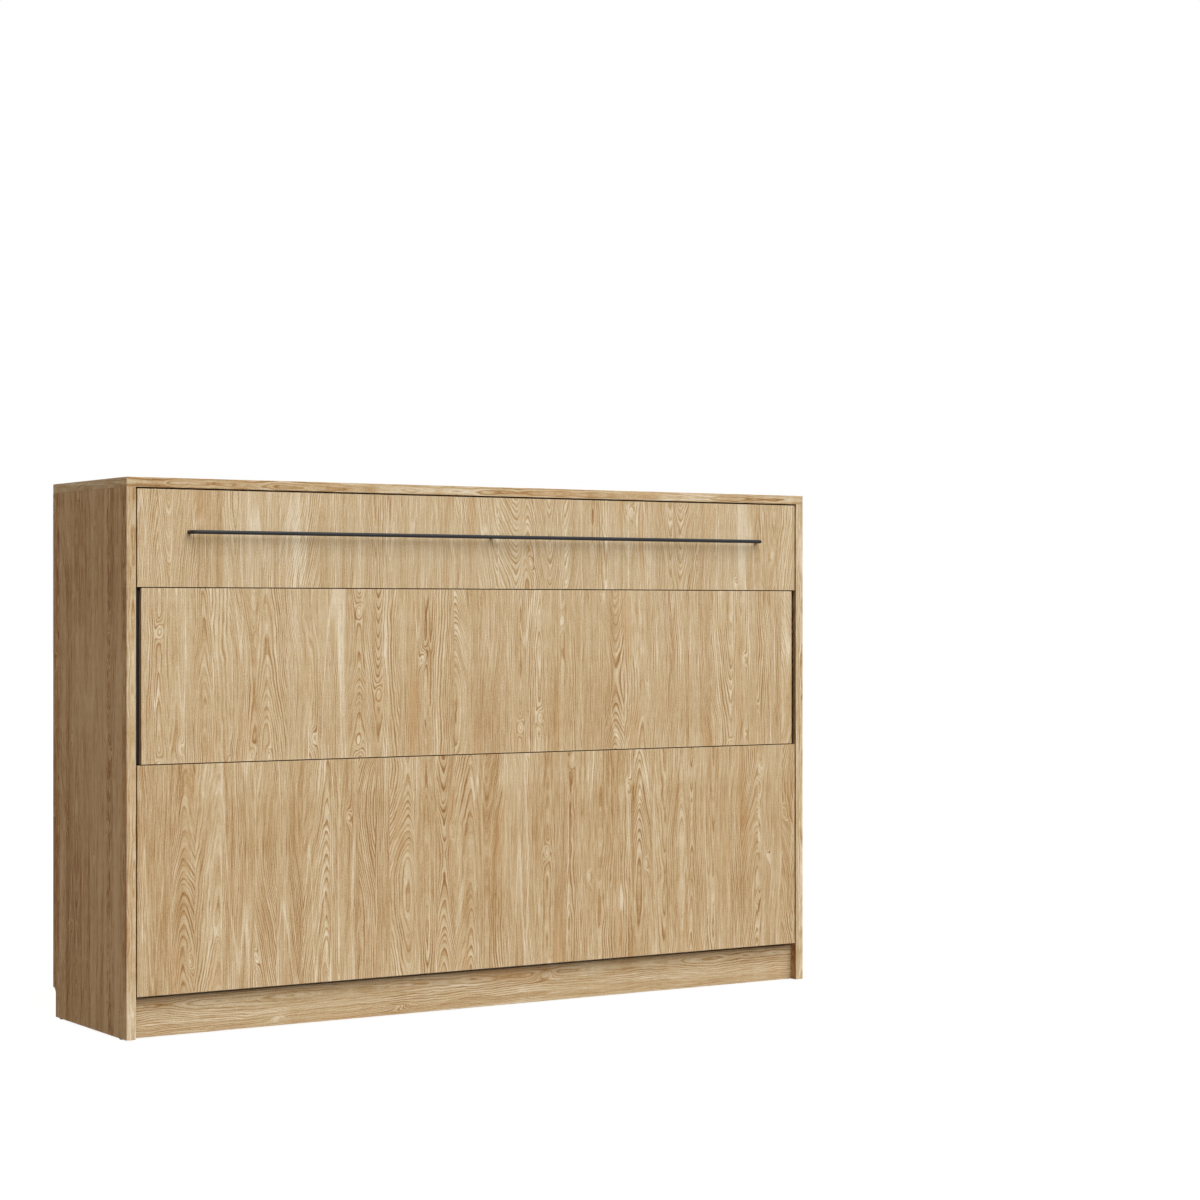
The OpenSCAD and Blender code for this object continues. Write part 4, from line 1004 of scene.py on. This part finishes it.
class BED_OT_fittings(bpy.types.Operator):
    """Finishes the cabinet's glides, cam locks, plates, pins, screws and stops"""

    bl_idname = "wallbed.fittings"
    bl_label = "Cabinet fittings"

    def execute(self, context):
        metal = context.scene.bed_metal
        paint(["cam_locks", "plate_screws", *both("pivot_pin")], plated("zinc_fittings", metal.zinc))
        paint(["stop_brackets", *both("pivot_plate", "strut_anchor")],
              powder_coat("black_fittings", metal.black))
        paint(["glides"], moulded("glide_plastic", metal.plastic, 0.5))
        paint(["bumpers"], moulded("bumper_rubber", metal.plastic, 0.8))
        return {"FINISHED"}


class BED_OT_handle(bpy.types.Operator):
    """Finishes the long handle and the screws that hold it"""

    bl_idname = "wallbed.handle"
    bl_label = "Handle"

    def execute(self, context):
        metal = context.scene.bed_metal
        paint(["handle"], powder_coat("handle_coat", metal.black))
        paint(["handle_screws"], plated("handle_screw_zinc", metal.zinc))
        return {"FINISHED"}


class BED_OT_bed_frame(bpy.types.Operator):
    """Finishes the steel frame, its bushes and screws, and the slats with their caps"""

    bl_idname = "wallbed.bed_frame"
    bl_label = "Bed frame"

    def execute(self, context):
        metal = context.scene.bed_metal
        cross_rails = ["cross_rail_" + place for place in ("bottom", "pivot", "lower", "upper", "top")]
        rails = both("side_rail") + cross_rails
        paint(rails, powder_coat("frame_coat", metal.black))
        paint(both("pivot_bush", "leg_bush"), plated("bush_bronze", metal.bronze, 0.36, 160))
        paint(["panel_screws", *both("strut_pin")], plated("frame_zinc", metal.zinc))
        paint(["slats"], beech("beech_slats"))
        paint(["slat_caps"], moulded("cap_plastic", metal.plastic, 0.5))
        soften(rails, metal.rail_round)
        soften(["slats"], context.scene.bed_beech.edge_round)
        soften(["slat_caps"], 0.0008)
        return {"FINISHED"}


class BED_OT_leg(bpy.types.Operator):
    """Finishes the folding leg, its tube, feet and pins, and the two links"""

    bl_idname = "wallbed.leg"
    bl_label = "Leg and links"

    def execute(self, context):
        metal = context.scene.bed_metal
        arms, links = both("leg_arm"), both("link")
        paint(arms + links + ["torsion_tube"], powder_coat("leg_coat", metal.black))
        paint(["leg_feet"], moulded("foot_rubber", metal.plastic, 0.8))
        paint(both("link_pin"), plated("link_zinc", metal.zinc))
        soften(arms + ["leg_feet"], metal.rail_round)
        soften(links, metal.link_round)
        return {"FINISHED"}


class BED_OT_struts(bpy.types.Operator):
    """Finishes the gas struts: painted cylinders and polished rods"""

    bl_idname = "wallbed.struts"
    bl_label = "Gas struts"

    def execute(self, context):
        metal = context.scene.bed_metal
        paint(both("strut_cylinder"), powder_coat("strut_coat", metal.black))
        paint(both("strut_rod"), plated("strut_rod", metal.zinc, 0.12, 60))
        return {"FINISHED"}


class BED_OT_mattress(bpy.types.Operator):
    """Makes the quilted mattress with its bound edges"""

    bl_idname = "wallbed.mattress"
    bl_label = "Mattress"

    def execute(self, context):
        bedding = context.scene.bed_bedding
        mattress = make_mattress(bedding)
        for piece in [mattress, *make_edge_tapes(bedding)]:
            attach(piece, "bed")
        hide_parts("mattress")
        return {"FINISHED"}


class BED_OT_straps(bpy.types.Operator):
    """Makes the two webbing straps and finishes their buckles"""

    bl_idname = "wallbed.straps"
    bl_label = "Straps"

    def execute(self, context):
        bedding = context.scene.bed_bedding
        for name, side in (("strap_left", -1), ("strap_right", 1)):
            piece, length = make_strap(name, side, bedding)
            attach(piece, "bed")
            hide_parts("straps")
        paint(["strap_buckles"], moulded("buckle_plastic", context.scene.bed_metal.plastic, 0.42))
        soften(["strap_buckles"], 0.0010)
        return {"FINISHED"}


# Stage


class StageSettings(bpy.types.PropertyGroup):
    camera_place: FloatVectorProperty(
        name="Camera place", description="Where the camera stands",
        subtype="TRANSLATION", default=(-3.730, -6.585, 1.083))
    camera_turn: FloatProperty(
        name="Camera turn", description="Heading of the camera, from straight along +Y",
        unit="ROTATION", default=math.radians(-32.73))
    lens: FloatProperty(
        name="Lens", description="Focal length on a 36 mm wide sensor",
        unit="CAMERA", default=81.1, min=10, max=300)
    shift: amount("Upward shift", "Shift of the lens, as a share of the sensor's width", 0.00958, -1, 1)
    key: amount("Key light", "Strength of the soft sun from the front", 3.6, 0, 10)
    back: amount(
        "Back light", "Strength of the light from behind, which only other views show", 0.7, 0, 10)
    fill: amount("Room light", "Strength of the even light from all round", 0.20, 0, 3)
    fill_colour: tint("Room colour", "Colour of the even light from all round", 1.0, 0.86, 0.72)
    floor_glow: amount(
        "Floor glow", "What the camera sees added to the floor, so that it is white", 0.92, 0, 1)


# Ways in which the two lights shine, the angles under which they are seen, and what the floor returns
KEY_WAY, KEY_WIDTH = (-0.08, 1.0, -1.15), math.radians(70)
BACK_WAY, BACK_WIDTH = (0.15, -1.0, -0.8), math.radians(60)
FLOOR_COLOUR = (0.20, 0.165, 0.13, 1)


def studio_world(settings):
    """White for the camera, and an even warm light for the object."""
    world = bpy.data.worlds.new("studio")
    world.use_nodes = True
    nodes = Nodes(world.node_tree)
    light = nodes.tree.nodes["Background"].inputs
    warm = [settings.fill * part for part in settings.fill_colour]
    nodes.put(light["Color"], nodes.mix_colour(nodes.seen_by_camera(), warm, (1, 1, 1)))
    light["Strength"].default_value = 1.0
    bpy.context.scene.world = world


def studio_floor(settings):
    """Pale floor that looks white and keeps the object's shadow."""
    deselect_all()
    bpy.ops.mesh.primitive_plane_add(size=120, location=(0, 0, 0))
    floor = bpy.context.object
    floor.name = "floor"
    s = Shader("pale_floor")
    s.surface["Emission Color"].default_value = (1, 1, 1, 1)
    s.put(s.surface["Emission Strength"], s.times(s.seen_by_camera(), settings.floor_glow))
    floor.data.materials.append(s.finish(FLOOR_COLOUR, 0.95, gloss=0.0))


def studio_light(name, way, strength, width):
    """Soft sun that shines a given way."""
    lamp = bpy.data.lights.new(name, "SUN")
    lamp.energy = strength
    lamp.angle = width
    link_new(name, lamp).rotation_euler = Vector(way).to_track_quat("-Z", "Y").to_euler()


def studio_camera(settings):
    """Camera that stands where the photo was taken from."""
    camera = bpy.data.cameras.new("camera")
    camera.lens = settings.lens
    camera.sensor_width = 36
    camera.shift_y = settings.shift
    camera.clip_end = 200
    holder = link_new("camera", camera)
    holder.location = settings.camera_place
    holder.rotation_euler = (math.pi / 2, 0, settings.camera_turn)
    bpy.context.scene.camera = holder


class BED_OT_stage(bpy.types.Operator):
    """Sets up the floor, the lights and the camera"""

    bl_idname = "wallbed.stage"
    bl_label = "Studio"

    def execute(self, context):
        settings = context.scene.bed_stage
        studio_world(settings)
        studio_floor(settings)
        studio_light("key", KEY_WAY, settings.key, KEY_WIDTH)
        studio_light("back", BACK_WAY, settings.back, BACK_WIDTH)
        studio_camera(settings)
        context.scene.view_settings.view_transform = "Standard"
        return {"FINISHED"}


# Panel and start

OPERATORS = (
    BED_OT_stage, BED_OT_boards, BED_OT_fittings, BED_OT_handle, BED_OT_bed_frame,
    BED_OT_leg, BED_OT_struts, BED_OT_mattress, BED_OT_straps,
)
SETTINGS = {
    "bed_oak": OakSettings, "bed_metal": MetalSettings, "bed_beech": BeechSettings,
    "bed_bedding": BeddingSettings, "bed_stage": StageSettings,
}


class BED_PT_panel(bpy.types.Panel):
    """Sizes, colours and steps of the wall bed"""

    bl_idname = "BED_PT_panel"
    bl_label = "Wall Bed"
    bl_space_type = "VIEW_3D"
    bl_region_type = "UI"
    bl_category = "Wall Bed"

    def draw(self, context):
        for operator in OPERATORS:
            self.layout.operator(operator.bl_idname)
        for name, group in SETTINGS.items():
            box = self.layout.box()
            for field in group.__annotations__:
                box.prop(getattr(context.scene, name), field)


CLASSES = (*SETTINGS.values(), *OPERATORS, BED_PT_panel)


def register():
    for kind in CLASSES:
        bpy.utils.register_class(kind)
    for name, group in SETTINGS.items():
        setattr(bpy.types.Scene, name, PointerProperty(type=group))


def unregister():
    for name in SETTINGS:
        delattr(bpy.types.Scene, name)
    for kind in reversed(CLASSES):
        bpy.utils.unregister_class(kind)


def main():
    register()
    for operator in OPERATORS:
        group, step = operator.bl_idname.split(".")
        getattr(getattr(bpy.ops, group), step)()


if __name__ == "__main__":
    main()
